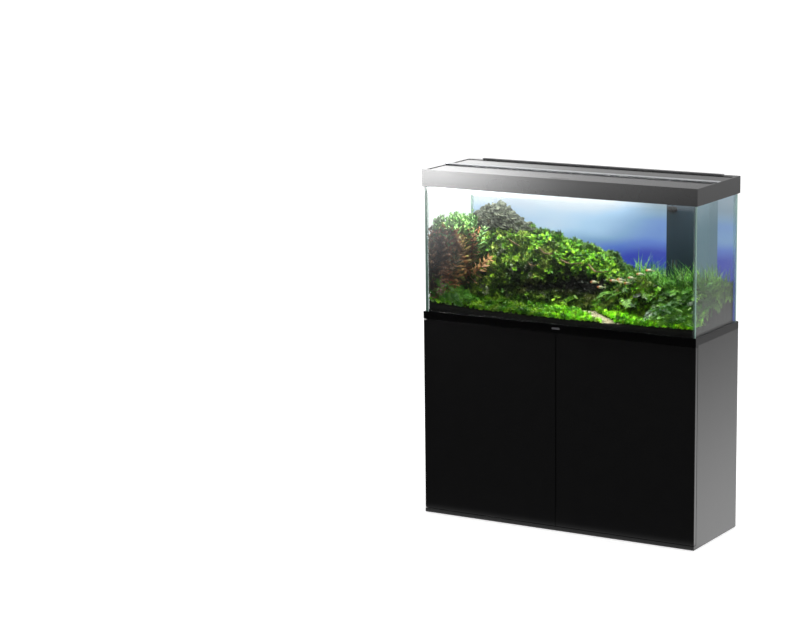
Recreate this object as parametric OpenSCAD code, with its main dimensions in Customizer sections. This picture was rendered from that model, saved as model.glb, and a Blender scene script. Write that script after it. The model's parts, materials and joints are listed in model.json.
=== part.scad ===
// Aquarium on a two-door cabinet, with a hood that holds two light bars.
// Millimetres, +Z up. The origin is on the floor at the middle of the plan; the doors face -Y.

/* [Overall] */
// Width of the hood, the widest piece
overall_w = 1212; // [1000:1:1600]
// Depth of the hood, front to back
overall_d = 400; // [350:1:600]

/* [Cabinet] */
// Height of the cabinet, floor to tank frame
cabinet_h = 812; // [600:1:900]
// How far the cabinet stands inside the hood on each side
cabinet_inset = 1; // [0.5:0.5:4]
// Thickness of side panels, top panel and divider
board_t = 18; // [16:0.5:25]
// Thickness of the bottom plate
plate_t = 16; // [12:0.5:25]
// Thickness of the back panels
back_t = 12; // [8:0.5:16]
// Height of the floor glides
glide_h = 3; // [2:0.5:6]
// Radius of the floor glides
glide_r = 16; // [10:0.5:25]
// Radius of the cable holes in the back panels
cable_hole_r = 30; // [20:1:40]
// Wall of the cable grommets
grommet_wall = 4; // [2:0.5:8]
// Flange of the cable grommets beyond the hole
grommet_flange = 5; // [2:0.5:10]
// Distance from a cable hole to the nearest boards
cable_hole_margin = 75; // [50:1:120]
// Radius of the wooden dowels
dowel_r = 4; // [3:0.5:5]
// Length of the wooden dowels
dowel_len = 30; // [20:1:40]
// Radius of the cam discs
cam_r = 7.5; // [6:0.5:9]
// Depth of the cam discs
cam_depth = 12; // [10:0.5:13]
// Distance from a cam disc to the board's end
cam_reach = 24; // [16:1:34]
// Radius of the cam bolts
cam_bolt_r = 3; // [2.5:0.25:3.5]

/* [Shelves] */
// Thickness of the shelves
shelf_t = 16; // [12:0.5:25]
// Gap between the shelves and the middle hinges
shelf_below_hinge = 24; // [5:1:80]
// Distance between pin holes
pin_pitch = 32; // [25:1:40]
// Holes above and below the one in use
spare_holes = 2; // [1:1:4]
// Radius of the shelf pins
pin_r = 2.5; // [2:0.25:4]
// How far a pin goes into its board, and how far it stands out
pin_depth = 8; // [6:0.5:8.5]
// How far the shelves stand back from the front edge
shelf_setback = 20; // [5:1:60]

/* [Doors] */
// Thickness of the doors
door_t = 18; // [16:0.5:22]
// Gap between the doors
door_gap = 3; // [2:0.5:6]
// Gap under the doors
door_gap_bottom = 2.5; // [1.5:0.5:6]
// Gap over the doors
door_gap_top = 3; // [2:0.5:8]
// Gap between a door's back and the cabinet's edge
door_back_gap = 3.5; // [3.5:0.25:5]
// Rounding of the doors' front edges
door_edge_r = 1; // [0.5:0.25:2]

/* [Hinges] */
// Radius of the hinge cups
cup_r = 17.5; // [17:0.25:20]
// Depth of the hinge cups
cup_depth = 13.5; // [13:0.25:14]
// Wall of the hinge cups
cup_wall = 1.5; // [1:0.25:1.75]
// Distance from a cup to the door's outer edge
cup_edge = 3; // [2.5:0.25:3.5]
// Distance from the pivot to the door's outer edge
pivot_edge = 7.5; // [7:0.25:8]
// Distance from the pivot to the door's back face
pivot_back = 9; // [8.5:0.25:9.5]
// Thickness of the hinge arms
arm_t = 3; // [2:0.25:3]
// Half the height of a hinge arm inside its cup
arm_half = 4; // [3:0.25:4.25]
// Half the height of the hinge plate on the side panel
hinge_plate_half = 12; // [10:0.5:20]
// Length of the hinge plate on the side panel
hinge_plate_len = 52; // [40:1:70]
// Radius of the hinge pins
hinge_pin_r = 1.25; // [1:0.05:1.4]
// Radius of the hinge arms' barrels
barrel_r = 2.4; // [2.2:0.05:2.6]
// Distance from the end hinges to the door's ends
hinge_end = 95; // [60:1:140]

/* [Push latches] */
// Radius of the plungers
plunger_r = 3.5; // [2.5:0.25:5]
// Wall of the latch housings
latch_wall = 2.5; // [2:0.25:4]
// Length of the latch housings
latch_len = 60; // [40:1:90]
// How far a plunger is pushed in
latch_travel = 3; // [2:0.5:6]
// Distance from the divider to a latch
latch_offset = 32; // [20:1:80]

/* [Tank] */
// Height of the tank's base frame
base_h = 32; // [25:0.5:50]
// Thickness of the base frame's walls and lip
base_wall = 3; // [2:0.25:5]
// Thickness of the ledge under the bottom pane
base_ledge_t = 6; // [4:0.5:10]
// Width of that ledge
base_ledge_w = 45; // [25:1:70]
// How far the glass stands inside the hood on each side
glass_inset = 8; // [7:0.25:14]
// Thickness of the upright panes
glass_t = 8; // [6:0.5:12]
// Thickness of the bottom pane
bottom_glass_t = 10; // [8:0.5:15]
// Height of the upright panes
pane_h = 550; // [400:1:600]
// Leg of the silicone seams
seam = 6; // [4:0.5:8]
// Width of the glass braces
brace_w = 60; // [40:1:100]
// Distance of the glass braces from the middle
brace_x = 200; // [120:1:300]
// How far the braces lie under the panes' top edge
brace_drop = 6; // [3:0.5:15]
// Thickness of the background film
film_t = 0.5; // [0.3:0.1:2]
// Width of the badge plate
badge_w = 36; // [20:1:60]
// Height of the badge plate
badge_h = 8; // [5:0.5:12]

/* [Planting] */
// Depth of the gravel bed
gravel_h = 40; // [20:1:80]
// Highest ground over the gravel, at the left
hill_high = 300; // [200:1:320]
// Ridge height over the gravel at the right
hill_low = 185; // [120:1:200]
// Height of the rock over the gravel
rock_h = 385; // [250:1:390]
// Height of the carpet over the gravel
carpet_h = 42; // [20:1:60]

/* [Filter] */
// Width of the filter box
filter_w = 182; // [150:1:190]
// Depth of the filter box, front to back
filter_d = 84; // [80:1:110]
// Distance from the filter box to the right pane
filter_margin = 72; // [40:1:100]
// How far the filter box ends below the panes' top edge
filter_drop = 33; // [25:1:60]
// Wall of the filter box
filter_wall = 3; // [2:0.25:5]
// Width of the pump chamber
pump_chamber = 52; // [48:0.5:56]
// Radius of the pump
pump_r = 22; // [16:0.5:22]
// Height of the pump
pump_h = 80; // [50:1:110]
// Radius of the riser pipe
riser_r = 8; // [6:0.25:9]
// Wall of the riser pipe and the nozzle
pipe_wall = 1.5; // [1:0.25:3]
// How far the outlet lies below the filter box's top
outlet_drop = 57; // [40:1:100]
// Distance from the outlet to the filter box's left side
outlet_side = 27; // [24:1:60]
// Radius of the nozzle's neck
nozzle_r = 9; // [7:0.25:9.5]
// Half the height of the nozzle's head
head_r = 11; // [10.5:0.25:13]
// Width of the nozzle's head
head_w = 39; // [30:1:44]
// Radius of the heater
heater_r = 11; // [9:0.5:12]
// Length of the heater's tube
heater_len = 290; // [200:1:320]
// Width of an intake slot
slot_w = 9; // [4:0.5:10]
// Bar between the two intake slots
slot_bar = 5; // [3:0.5:10]
// Distance from the slots to the filter box's left side
slot_side = 23; // [8:1:60]
// Height of the slots' upper end over the bottom pane
slot_rise = 258; // [200:1:330]
// Height of an intake slot
slot_h = 38; // [20:1:60]
// Height of one foam cartridge
cartridge_h = 125; // [90:1:130]

/* [Hood] */
// Height of the hood, rim to lower edge
hood_h = 68; // [60:1:90]
// How far the hood hangs over the glass
hood_overlap = 23; // [15:1:25]
// Wall of the hood
hood_wall = 3; // [2:0.25:4]
// Width of the front rim
rim_front = 18; // [12:1:40]
// Width of the side rims
rim_side = 12; // [10:1:30]
// Width of the rear rim
rim_rear = 40; // [30:1:60]
// Thickness of the rim
rim_t = 3; // [2:0.25:4]
// Width of the lip under the lids
lip_w = 6; // [4:0.5:10]
// Thickness of the lids
lid_t = 4; // [3:0.25:5]
// How far the lids lie below the rim
lid_drop = 2; // [1:0.25:4]
// Gap round the lids
lid_gap = 1.2; // [0.8:0.1:3]
// Width of the crossbar
bar_w = 35; // [28:1:50]
// Thickness of the crossbar's metal strip
bar_t = 2.5; // [1.5:0.25:4]
// Depth of the crossbar below the rim
bar_depth = 18; // [14:1:20]
// Width of the finger recess in the front lid
recess_w = 84; // [60:1:120]
// Depth of the finger recess
recess_deep = 1.5; // [0.5:0.25:2]
// Length of the strip on the rear rim
strip_len = 1076; // [600:1:1080]
// Width of that strip
strip_w = 16; // [8:1:24]
// Height of that strip
strip_h = 4; // [2:0.5:8]
// Radius of the lid hinge pins
lid_pin_r = 2; // [1.5:0.1:2.4]
// Radius of the lid knuckles
knuckle_r = 4; // [3.6:0.1:4.4]
// Width of a lid knuckle
knuckle_w = 40; // [20:1:60]
// Width of a hinge lug
lug_w = 6; // [4:0.5:10]
// Distance of the outer lid hinges from the middle
lid_hinge_x = 430; // [300:1:450]

/* [Lighting] */
// Length of the light profiles
light_len = 1150; // [700:1:1160]
// Width of the light profiles
light_w = 32; // [24:1:44]
// Height of the light profiles
light_h = 12; // [8:0.5:14]
// Distance of the front light from the middle
light_front_y = 95; // [60:1:110]
// Distance of the rear light from the middle
light_rear_y = 85; // [60:1:95]
// Height of the lights above the panes' top edge
light_rise = 12; // [8:0.5:14]
// Thickness of the diffusers
diffuser_t = 3; // [2:0.25:4]
// Radius of the hole in a cable gland
gland_r = 3; // [2:0.25:4]

/* [Clearances] */
// Radial clearance of a turning or sliding fit
fit_run = 0.05; // [0.02:0.01:0.1]
// Radial clearance of a pin that is pressed in
fit_press = 0.02; // [0.01:0.01:0.05]
// Gap between pieces that move apart
gap_move = 0.3; // [0.2:0.05:0.6]
// Gap round a piece that is laid in
gap_laid = 1; // [0.5:0.25:2]

/* [Hidden] */
$fn = 48;
over = 1; // how far a cutter runs past the face it cuts

// Cabinet
cab_x = overall_w / 2 - cabinet_inset;
cab_y = overall_d / 2 - cabinet_inset;
plate_top = glide_h + plate_t;
top_z = cabinet_h - board_t;
door_back_y = -cab_y + door_t;
edge_y = door_back_y + door_back_gap;
inner_x = cab_x - board_t;
back_y = cab_y - back_t;
div_half = board_t / 2;
door_z0 = plate_top + door_gap_bottom;
door_z1 = cabinet_h - door_gap_top;
door_x0 = door_gap / 2;
hinge_zs = [door_z0 + hinge_end, (door_z0 + door_z1) / 2, door_z1 - hinge_end];
cable_hole_x = inner_x - cable_hole_margin;
cable_hole_zs = [plate_top + cable_hole_margin + cable_hole_r, top_z - cable_hole_margin];
joint_ys = [edge_y + 60, back_y - 60];
cam_z = cabinet_h - board_t / 2;
dowel_in_plate = plate_t - 5;
glide_xs = [-cab_x + 60, 0, cab_x - 60];
glide_ys = [-cab_y + 40, cab_y - 40];

// Shelves
pin_ys = [edge_y + shelf_setback + 40, back_y - 50];
shelf_pin_z = hinge_zs[1] - hinge_plate_half - shelf_below_hinge - shelf_t - pin_r;
pin_zs = [for (i = [-spare_holes:spare_holes]) shelf_pin_z + i * pin_pitch];
shelf_z = shelf_pin_z + pin_r;

// Hinges
pivot_x = cab_x - pivot_edge;
pivot_y = door_back_y - pivot_back;
cup_x = cab_x - cup_edge - cup_r;
hinge_screw_ys = [edge_y + 22, edge_y + 46];
hinge_screw_r = 2;
screw_head_r = 3.5;
screw_head_h = 2;

// Push latches
latch_x = div_half + latch_offset;
latch_z = top_z - plunger_r - latch_wall;
plunger_tip_y = door_back_y + gap_move;
bumper_r = 3;
bumper_zs = [door_z0 + 30, door_z1 - 60];

// Tank
base_x = overall_w / 2 - cabinet_inset / 2;
base_y = overall_d / 2 - cabinet_inset / 2;
glass_x = overall_w / 2 - glass_inset;
glass_y = overall_d / 2 - glass_inset;
in_x = glass_x - glass_t;
in_y = glass_y - glass_t;
pane_z = cabinet_h + base_ledge_t + bottom_glass_t;
pane_top = pane_z + pane_h;

// Filter
filt_x1 = in_x - filter_margin;
filt_x0 = filt_x1 - filter_w;
filt_y0 = in_y - filter_d;
filt_z1 = pane_top - filter_drop;
cham_x1 = filt_x1 - filter_wall - pump_chamber;
pump_x = filt_x1 - filter_wall - pump_chamber / 2;
pump_y = filt_y0 + filter_wall + pump_r + gap_laid;
heater_y = in_y - filter_wall - heater_r - 4;
heater_z0 = pane_z + filter_wall + 9;
clip_zs = [heater_z0 + 50, heater_z0 + heater_len - 60];
clip_wall = 2;
clip_h = 14;
heater_cap_h = 30;
heater_plug_h = 8;
outlet_z = filt_z1 - outlet_drop;
outlet_x = filt_x0 + outlet_side;
divider_top = outlet_z - riser_r - 8;
slot_x = filt_x0 + slot_side;
slot_z = pane_z + slot_rise;
head_len = 12;
neck_len = 7;
mouth_angle = 35;
foam_gap = 0.5;
glue_gap = 0.05;
skirt_h = 4;
skirt_gap = 0.3;
grip_half = 15;
grip_out = 5;

// Hood
hood_x = overall_w / 2;
hood_y = overall_d / 2;
hood_z0 = pane_top - hood_overlap;
rim_z = hood_z0 + hood_h;
open_x = hood_x - rim_side;
open_y0 = -hood_y + rim_front;
open_y1 = hood_y - rim_rear;
lid_z1 = rim_z - lid_drop;
lid_z0 = lid_z1 - lid_t;
lip_z1 = lid_z0 - 0.5;
lip_t = 3.5;
bar_y = bar_w / 2;
hinge_y = bar_y + knuckle_r + 2.5;
hinge_z = lid_z1 - knuckle_r;
lid_back = bar_y + 2.5;
hinge_xs = [-lid_hinge_x, 0, lid_hinge_x];
light_z0 = pane_top + light_rise;
gland_x = hood_x - 100;
gland_z = rim_z - 28;
gland_wall = 2;
gland_len = 8;
mitre_gap = 0.05;
strip_back = 4;

// Planting
ground_z = pane_z + gravel_h;
carpet_y = -in_y + 72;
split_y = carpet_y + 122;
bush_x = -in_x + 246;
rock_x0 = -in_x + 50;
rock_x1 = -in_x + 350;
fern_x = in_x / 3;
fern_y1 = filt_y0 - 20;
plant_inset = 8;
rock_y0 = split_y + 8;
rock_d = 120;
rock_low = 150;

// A closed frame: an outer rectangle less an inner one, both given by half sizes
module ring(ox, oy, ix, iy, h) {
  difference() {
    translate([-ox, -oy, 0]) cube([2 * ox, 2 * oy, h]);
    translate([-ix, -iy, -over]) cube([2 * ix, 2 * iy, h + 2 * over]);
  }
}

// A box from its lowest corner to its highest
module span(a, b) {
  translate(a) cube(b - a);
}

// A cylinder along Y or along X
module rod_y(r, len) {
  rotate([-90, 0, 0]) cylinder(r = r, h = len);
}
module rod_x(r, len) {
  rotate([0, 90, 0]) cylinder(r = r, h = len);
}

// Repeats its children on both sides of the middle
module both_sides() {
  children();
  mirror([1, 0, 0]) children();
}

// ---- Cabinet ----

module shelf_pin_holes(x) {
  for (y = pin_ys, z = pin_zs) translate([x, y, z]) rod_x(pin_r, pin_depth + over);
}

module side_panel() {
  difference() {
    span([inner_x, edge_y, plate_top], [cab_x, cab_y, cabinet_h]);
    translate([-over, 0, 0]) shelf_pin_holes(inner_x);
    for (y = joint_ys) {
      translate([inner_x + div_half, y, plate_top - over])
        cylinder(r = dowel_r, h = dowel_len - dowel_in_plate + over);
      translate([inner_x - over, y, cam_z]) rod_x(cam_bolt_r, 10 + over);
    }
    for (y = hinge_screw_ys, z = hinge_zs)
      translate([inner_x - over, y, z]) rod_x(hinge_screw_r, 12 + over);
  }
}

module side_panel_left() {
  color([0.05, 0.05, 0.055]) mirror([1, 0, 0]) side_panel();
}

module side_panel_right() {
  color([0.05, 0.05, 0.055]) side_panel();
}

module bottom_plate() {
  color([0.05, 0.05, 0.055])
  difference() {
    span([-cab_x, -cab_y, glide_h], [cab_x, cab_y, plate_top]);
    for (x = [-inner_x - div_half, 0, inner_x + div_half], y = joint_ys)
      translate([x, y, plate_top - dowel_in_plate]) cylinder(r = dowel_r, h = dowel_in_plate + over);
  }
}

module top_panel() {
  color([0.05, 0.05, 0.055])
  difference() {
    span([-inner_x, edge_y, top_z], [inner_x, cab_y, cabinet_h]);
    both_sides()
      for (y = joint_ys) {
        translate([inner_x - cam_reach, y, top_z - over]) cylinder(r = cam_r, h = cam_depth + over);
        translate([inner_x - cam_reach, y, cam_z]) rod_x(cam_bolt_r, cam_reach + over);
      }
  }
}

module centre_divider() {
  color([0.05, 0.05, 0.055])
  difference() {
    span([-div_half, edge_y, plate_top], [div_half, back_y, top_z]);
    both_sides() translate([-pin_depth, 0, 0]) shelf_pin_holes(div_half);
    for (y = joint_ys)
      translate([0, y, plate_top - over]) cylinder(r = dowel_r, h = dowel_len - dowel_in_plate + over);
  }
}

module back_panel() {
  difference() {
    span([0, back_y, plate_top], [inner_x, cab_y, top_z]);
    for (z = cable_hole_zs)
      translate([cable_hole_x, back_y - over, z]) rod_y(cable_hole_r, back_t + 2 * over);
  }
}

module back_panel_left() {
  color([0.07, 0.07, 0.075]) mirror([1, 0, 0]) back_panel();
}

module back_panel_right() {
  color([0.07, 0.07, 0.075]) back_panel();
}

module shelf() {
  span([div_half + gap_laid, edge_y + shelf_setback, shelf_z],
       [inner_x - gap_laid, back_y - gap_laid, shelf_z + shelf_t]);
}

module shelf_left() {
  color([0.06, 0.06, 0.065]) mirror([1, 0, 0]) shelf();
}

module shelf_right() {
  color([0.06, 0.06, 0.065]) shelf();
}

module shelf_pins() {
  color("silver")
  both_sides()
    for (y = pin_ys) {
      translate([div_half - pin_depth, y, shelf_pin_z]) rod_x(pin_r, 2 * pin_depth);
      translate([inner_x - pin_depth, y, shelf_pin_z]) rod_x(pin_r, 2 * pin_depth);
    }
}

module cam_discs() {
  color("silver")
  both_sides()
    for (y = joint_ys)
      translate([inner_x - cam_reach, y, top_z])
        difference() {
          cylinder(r = cam_r, h = cam_depth);
          translate([0, 0, cam_z - top_z]) rod_x(cam_bolt_r, cam_r + over);
          translate([-cam_r / 2, -0.8, -over]) cube([cam_r, 1.6, 2 + over]);
        }
}

module cam_bolts() {
  color("silver")
  both_sides()
    for (y = joint_ys)
      translate([inner_x - cam_reach + 0.5, y, cam_z]) rod_x(cam_bolt_r, cam_reach + 9.5);
}

module dowels() {
  color("burlywood")
  for (x = [-inner_x - div_half, 0, inner_x + div_half], y = joint_ys)
    translate([x, y, plate_top - dowel_in_plate]) cylinder(r = dowel_r, h = dowel_len);
}

module glides() {
  color([0.1, 0.1, 0.1])
  for (x = glide_xs, y = glide_ys) translate([x, y, 0]) cylinder(r = glide_r, h = glide_h);
}

module cable_grommets() {
  color([0.03, 0.03, 0.03])
  both_sides()
    for (z = cable_hole_zs)
      translate([cable_hole_x, back_y, z])
        difference() {
          union() {
            rod_y(cable_hole_r, back_t);
            translate([0, -2, 0]) rod_y(cable_hole_r + grommet_flange, 2);
          }
          translate([0, -2 - over, 0]) rod_y(cable_hole_r - grommet_wall, back_t + 2 + 2 * over);
        }
}

// ---- Doors, hinges and latches ----

module door() {
  difference() {
    intersection() {
      span([door_x0, -cab_y, door_z0], [cab_x, door_back_y, door_z1]);
      // A thin bevel breaks each front edge
      translate([(door_x0 + cab_x) / 2, -cab_y, (door_z0 + door_z1) / 2])
        rotate([-90, 0, 0])
        door_blank(cab_x - door_x0, door_z1 - door_z0);
    }
    for (z = hinge_zs)
      translate([cup_x, door_back_y - cup_depth, z]) rod_y(cup_r, cup_depth + over);
  }
}

// The door's slab with its front edges broken, lying with its front at Z = 0
module door_blank(w, h) {
  translate([-w / 2, -h / 2, door_edge_r]) cube([w, h, door_t - door_edge_r + over]);
  translate([-w / 2 + door_edge_r, -h / 2 + door_edge_r, 0])
    cube([w - 2 * door_edge_r, h - 2 * door_edge_r, door_edge_r]);
}

module door_left() {
  color([0.04, 0.04, 0.045]) mirror([1, 0, 0]) door();
}

module door_right() {
  color([0.04, 0.04, 0.045]) door();
}

module hinge_cup() {
  difference() {
    union() {
      translate([cup_x, door_back_y - cup_depth, 0]) rod_y(cup_r, cup_depth);
      span([cup_x - 13, door_back_y, -26], [cup_x - 1, door_back_y + 1, 26]);
    }
    translate([cup_x, door_back_y - cup_depth + 1, 0]) rod_y(cup_r - cup_wall, cup_depth + over);
    translate([pivot_x, pivot_y, -cup_r]) cylinder(r = hinge_pin_r + fit_press, h = 2 * cup_r);
    for (z = [-21, 21]) translate([cup_x - 7, door_back_y - over, z]) rod_y(1.8, 2 + over);
  }
}

module hinge_cups_right() {
  color("silver") for (z = hinge_zs) translate([0, 0, z]) hinge_cup();
}

module hinge_cups_left() {
  color("silver") mirror([1, 0, 0]) for (z = hinge_zs) translate([0, 0, z]) hinge_cup();
}

module hinge_pin_set() {
  reach = sqrt(cup_r * cup_r - pow(pivot_x - cup_x + hinge_pin_r, 2)) - 0.1;
  for (z = hinge_zs) translate([pivot_x, pivot_y, z - reach]) cylinder(r = hinge_pin_r, h = 2 * reach);
}

module hinge_pins_right() {
  color("gainsboro") hinge_pin_set();
}

module hinge_pins_left() {
  color("gainsboro") mirror([1, 0, 0]) hinge_pin_set();
}

// The arm lies on the side panel, goes forward into the cup and turns out to the pivot
module hinge_arm() {
  difference() {
    union() {
      span([inner_x - arm_t, pivot_y - arm_t / 2, -arm_half], [inner_x, edge_y + 8, arm_half]);
      span([inner_x - arm_t, pivot_y - arm_t / 2, -arm_half], [pivot_x, pivot_y + arm_t / 2, arm_half]);
      translate([pivot_x, pivot_y, -arm_half]) cylinder(r = barrel_r, h = 2 * arm_half);
      span([inner_x - arm_t, edge_y + 6, -hinge_plate_half],
           [inner_x, edge_y + 6 + hinge_plate_len, hinge_plate_half]);
    }
    translate([pivot_x, pivot_y, -arm_half - over])
      cylinder(r = hinge_pin_r + fit_run, h = 2 * arm_half + 2 * over);
    for (y = hinge_screw_ys)
      translate([inner_x - arm_t - over, y, 0]) rod_x(hinge_screw_r, arm_t + 2 * over);
  }
}

module hinge_arms_right() {
  color("silver") for (z = hinge_zs) translate([0, 0, z]) hinge_arm();
}

module hinge_arms_left() {
  color("silver") mirror([1, 0, 0]) for (z = hinge_zs) translate([0, 0, z]) hinge_arm();
}

module hinge_screws() {
  color("gray")
  both_sides()
    for (y = hinge_screw_ys, z = hinge_zs)
      translate([inner_x - arm_t - screw_head_h, y, z]) {
        rod_x(screw_head_r, screw_head_h);
        rod_x(hinge_screw_r, screw_head_h + arm_t + 11);
      }
}

module latch_housings() {
  color([0.2, 0.2, 0.2])
  both_sides()
    difference() {
      union() {
        translate([latch_x, edge_y, latch_z]) rod_y(plunger_r + latch_wall, latch_len);
        span([latch_x - 4, edge_y + 6, latch_z], [latch_x + 4, edge_y + latch_len - 6, top_z]);
      }
      translate([latch_x, edge_y - over, latch_z]) rod_y(plunger_r + fit_run, latch_len - 6 + over);
    }
}

module plunger() {
  translate([latch_x, plunger_tip_y, latch_z])
    rod_y(plunger_r, latch_len - 6 - latch_travel - gap_laid);
}

module latch_plunger_right() {
  color("white") plunger();
}

module latch_plunger_left() {
  color("white") mirror([1, 0, 0]) plunger();
}

module door_bumpers() {
  color([0.5, 0.5, 0.5])
  both_sides()
    for (z = bumper_zs)
      translate([(door_x0 + div_half) / 2, door_back_y + gap_move, z])
        rod_y(bumper_r, door_back_gap - gap_move);
}

// ---- Tank ----

module base_frame() {
  color([0.03, 0.03, 0.03]) {
    translate([0, 0, cabinet_h]) ring(base_x, base_y, base_x - base_wall, base_y - base_wall, base_h);
    translate([0, 0, cabinet_h + base_h - base_wall])
      ring(base_x, base_y, glass_x + 0.4, glass_y + 0.4, base_wall);
    translate([0, 0, cabinet_h])
      ring(base_x, base_y, base_x - base_ledge_w, base_y - base_ledge_w, base_ledge_t);
    span([-30, -base_y + base_ledge_w - over, cabinet_h],
         [30, base_y - base_ledge_w + over, cabinet_h + base_ledge_t]);
  }
}

module badge() {
  color([0.35, 0.35, 0.37])
  translate([0, -overall_d / 2, cabinet_h + base_h / 2]) {
    span([-badge_w / 2 + badge_h / 2, 0, -badge_h / 2],
         [badge_w / 2 - badge_h / 2, cabinet_inset / 2, badge_h / 2]);
    for (s = [-1, 1])
    translate([s * (badge_w - badge_h) / 2, 0, 0]) rod_y(badge_h / 2, cabinet_inset / 2);
  }
}

module bottom_pane() {
  color([0.7, 0.85, 0.85, 0.4])
  span([-glass_x, -glass_y, cabinet_h + base_ledge_t], [glass_x, glass_y, pane_z]);
}

module front_pane() {
  color([0.8, 0.9, 0.9, 0.3]) span([-glass_x, -glass_y, pane_z], [glass_x, -in_y, pane_top]);
}

module rear_pane() {
  color([0.8, 0.9, 0.9, 0.3]) span([-glass_x, in_y, pane_z], [glass_x, glass_y, pane_top]);
}

module end_panes() {
  color([0.8, 0.9, 0.9, 0.3]) both_sides() span([in_x, -in_y, pane_z], [glass_x, in_y, pane_top]);
}

module silicone_seams() {
  far = -seam - over;
  cut = [[far, -over], [-seam, 0], [0, seam], [0, seam + over], [far, seam + over]];
  color([0.02, 0.02, 0.02])
  for (sx = [0, 1], sy = [0, 1])
    mirror([sx, 0, 0]) mirror([0, sy, 0]) {
      translate([in_x, in_y, pane_z + seam])
        linear_extrude(pane_h - seam) polygon([[0, 0], [-seam, 0], [0, -seam]]);
    }
  color([0.02, 0.02, 0.02])
  translate([0, 0, pane_z])
    difference() {
      ring(in_x, in_y, in_x - seam, in_y - seam, seam);
      span([filt_x0 - over / 2, filt_y0, -over], [filt_x1 + over / 2, in_y + over, seam + over]);
      // The seam's slope, cut along each side
      for (sx = [0, 1], sy = [0, 1]) mirror([sx, 0, 0]) mirror([0, sy, 0]) {
        translate([in_x, 0, 0]) rotate([90, 0, 0])
          linear_extrude(2 * in_y, center = true)
          polygon(cut);
        translate([0, in_y, 0]) rotate([90, 0, 90])
          linear_extrude(2 * in_x, center = true)
          polygon(cut);
      }
    }
}

module glass_braces() {
  color([0.8, 0.9, 0.9, 0.3])
  for (x = [-brace_x, brace_x])
    span([x - brace_w / 2, -in_y, pane_top - brace_drop - glass_t],
         [x + brace_w / 2, in_y, pane_top - brace_drop]);
}

module background_film() {
  color([0.25, 0.4, 0.75])
  span([-glass_x, glass_y, cabinet_h + base_h], [glass_x, glass_y + film_t, pane_top]);
}

// ---- Planting: plain closed solids, one for each kind of plant ----

// Ridge height along X: high at the left, falling past the middle
ridge = function(x)
  ground_z + hill_low + (hill_high - hill_low) / (1 + exp((x - in_x / 8) / (in_x / 10)));
// Small rounded bumps that break up a slope
bumps = function(x, y) 5 * sin(x * 1.9 + 40) * cos(y * 2.7);

// A solid with a flat foot at the gravel and its top given by a height function
module mound(x0, x1, y0, y1, nx, ny, height) {
  xs = [for (i = [0:nx]) x0 + (x1 - x0) * i / nx];
  ys = [for (j = [0:ny]) y0 + (y1 - y0) * j / ny];
  cols = ny + 1;
  count = (nx + 1) * cols;
  top = [for (x = xs, y = ys) [x, y, height(x, y)]];
  foot = [for (x = xs, y = ys) [x, y, ground_z]];
  upper = [for (i = [0:nx - 1], j = [0:ny - 1])
    each [[i * cols + j, i * cols + j + 1, (i + 1) * cols + j + 1],
          [i * cols + j, (i + 1) * cols + j + 1, (i + 1) * cols + j]]];
  lower = [for (f = upper) [f[0] + count, f[2] + count, f[1] + count]];
  rim = concat(
    [for (i = [0:nx]) i * cols],
    [for (j = [1:ny]) nx * cols + j],
    [for (i = [nx - 1:-1:0]) i * cols + ny],
    [for (j = [ny - 1:-1:1]) j]);
  sides = [for (k = [0:len(rim) - 1])
    let (a = rim[k], b = rim[(k + 1) % len(rim)])
    each [[a, b, b + count], [a, b + count, a + count]]];
  polyhedron(points = concat(top, foot), faces = concat(upper, lower, sides));
}

// The tank's floor plan, with its corners cut back from the silicone
module floor_plan(inset) {
  x = in_x - inset;
  y = in_y - inset;
  c = seam + 1;
  polygon([[-x + c, -y], [x - c, -y], [x, -y + c], [x, y - c],
           [x - c, y], [-x + c, y], [-x, y - c], [-x, -y + c]]);
}

module gravel_bed() {
  color([0.2, 0.18, 0.15])
  difference() {
    union() {
      translate([0, 0, pane_z]) linear_extrude(seam + 2) floor_plan(seam + 1);
      translate([0, 0, pane_z + seam + 1]) linear_extrude(gravel_h - seam - 1) floor_plan(0.5);
    }
    span([filt_x0 - gap_laid, filt_y0 - gap_laid, pane_z - over],
         [filt_x1 + gap_laid, in_y + over, ground_z + over]);
  }
}

module rock() {
  color([0.35, 0.36, 0.33])
  mound(rock_x0, rock_x1, rock_y0, rock_y0 + rock_d, 10, 5,
    function(x, y) let (
      u = (x - rock_x0) / (rock_x1 - rock_x0),
      v = (y - rock_y0) / rock_d)
      ground_z + rock_low + (rock_h - rock_low) * pow(sin(180 * (0.12 + 0.76 * u)), 1.4)
        * (0.72 + 0.28 * sin(180 * v)) * (0.93 + 0.07 * cos(u * 1400)));
}

module planted_hill() {
  color([0.35, 0.45, 0.12])
  mound(bush_x + 2, fern_x - 1, carpet_y + 1, split_y, 14, 6,
    function(x, y) let (v = (y - carpet_y) / (split_y - carpet_y))
      ground_z + carpet_h + (ridge(x) - ground_z - carpet_h) * (0.2 + 0.75 * sin(90 * v)) + bumps(x, y));
}

module stem_plants() {
  color([0.45, 0.3, 0.2])
  mound(-in_x + plant_inset, bush_x, carpet_y + 1, split_y, 8, 6,
    function(x, y) let (v = (y - carpet_y) / (split_y - carpet_y))
      ground_z + carpet_h + (hill_high - carpet_h) * (0.35 + 0.65 * sin(90 * v)) + bumps(x, y));
}

module back_plants() {
  color([0.3, 0.4, 0.15])
  mound(rock_x1 + 4, fern_x - 1, split_y + 2, in_y - plant_inset, 12, 5,
    function(x, y) ridge(x) - 14 * pow((y - split_y) / (in_y - split_y), 2) * 4 + bumps(x, y));
}

module fern_bed() {
  color([0.2, 0.4, 0.15])
  mound(fern_x + 1, in_x - plant_inset, carpet_y + 1, fern_y1, 9, 6,
    function(x, y) let (v = (y - carpet_y) / (fern_y1 - carpet_y))
      ground_z + carpet_h + (hill_low - carpet_h) * (0.25 + 0.7 * sin(90 * v)) + bumps(x, y));
}

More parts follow.
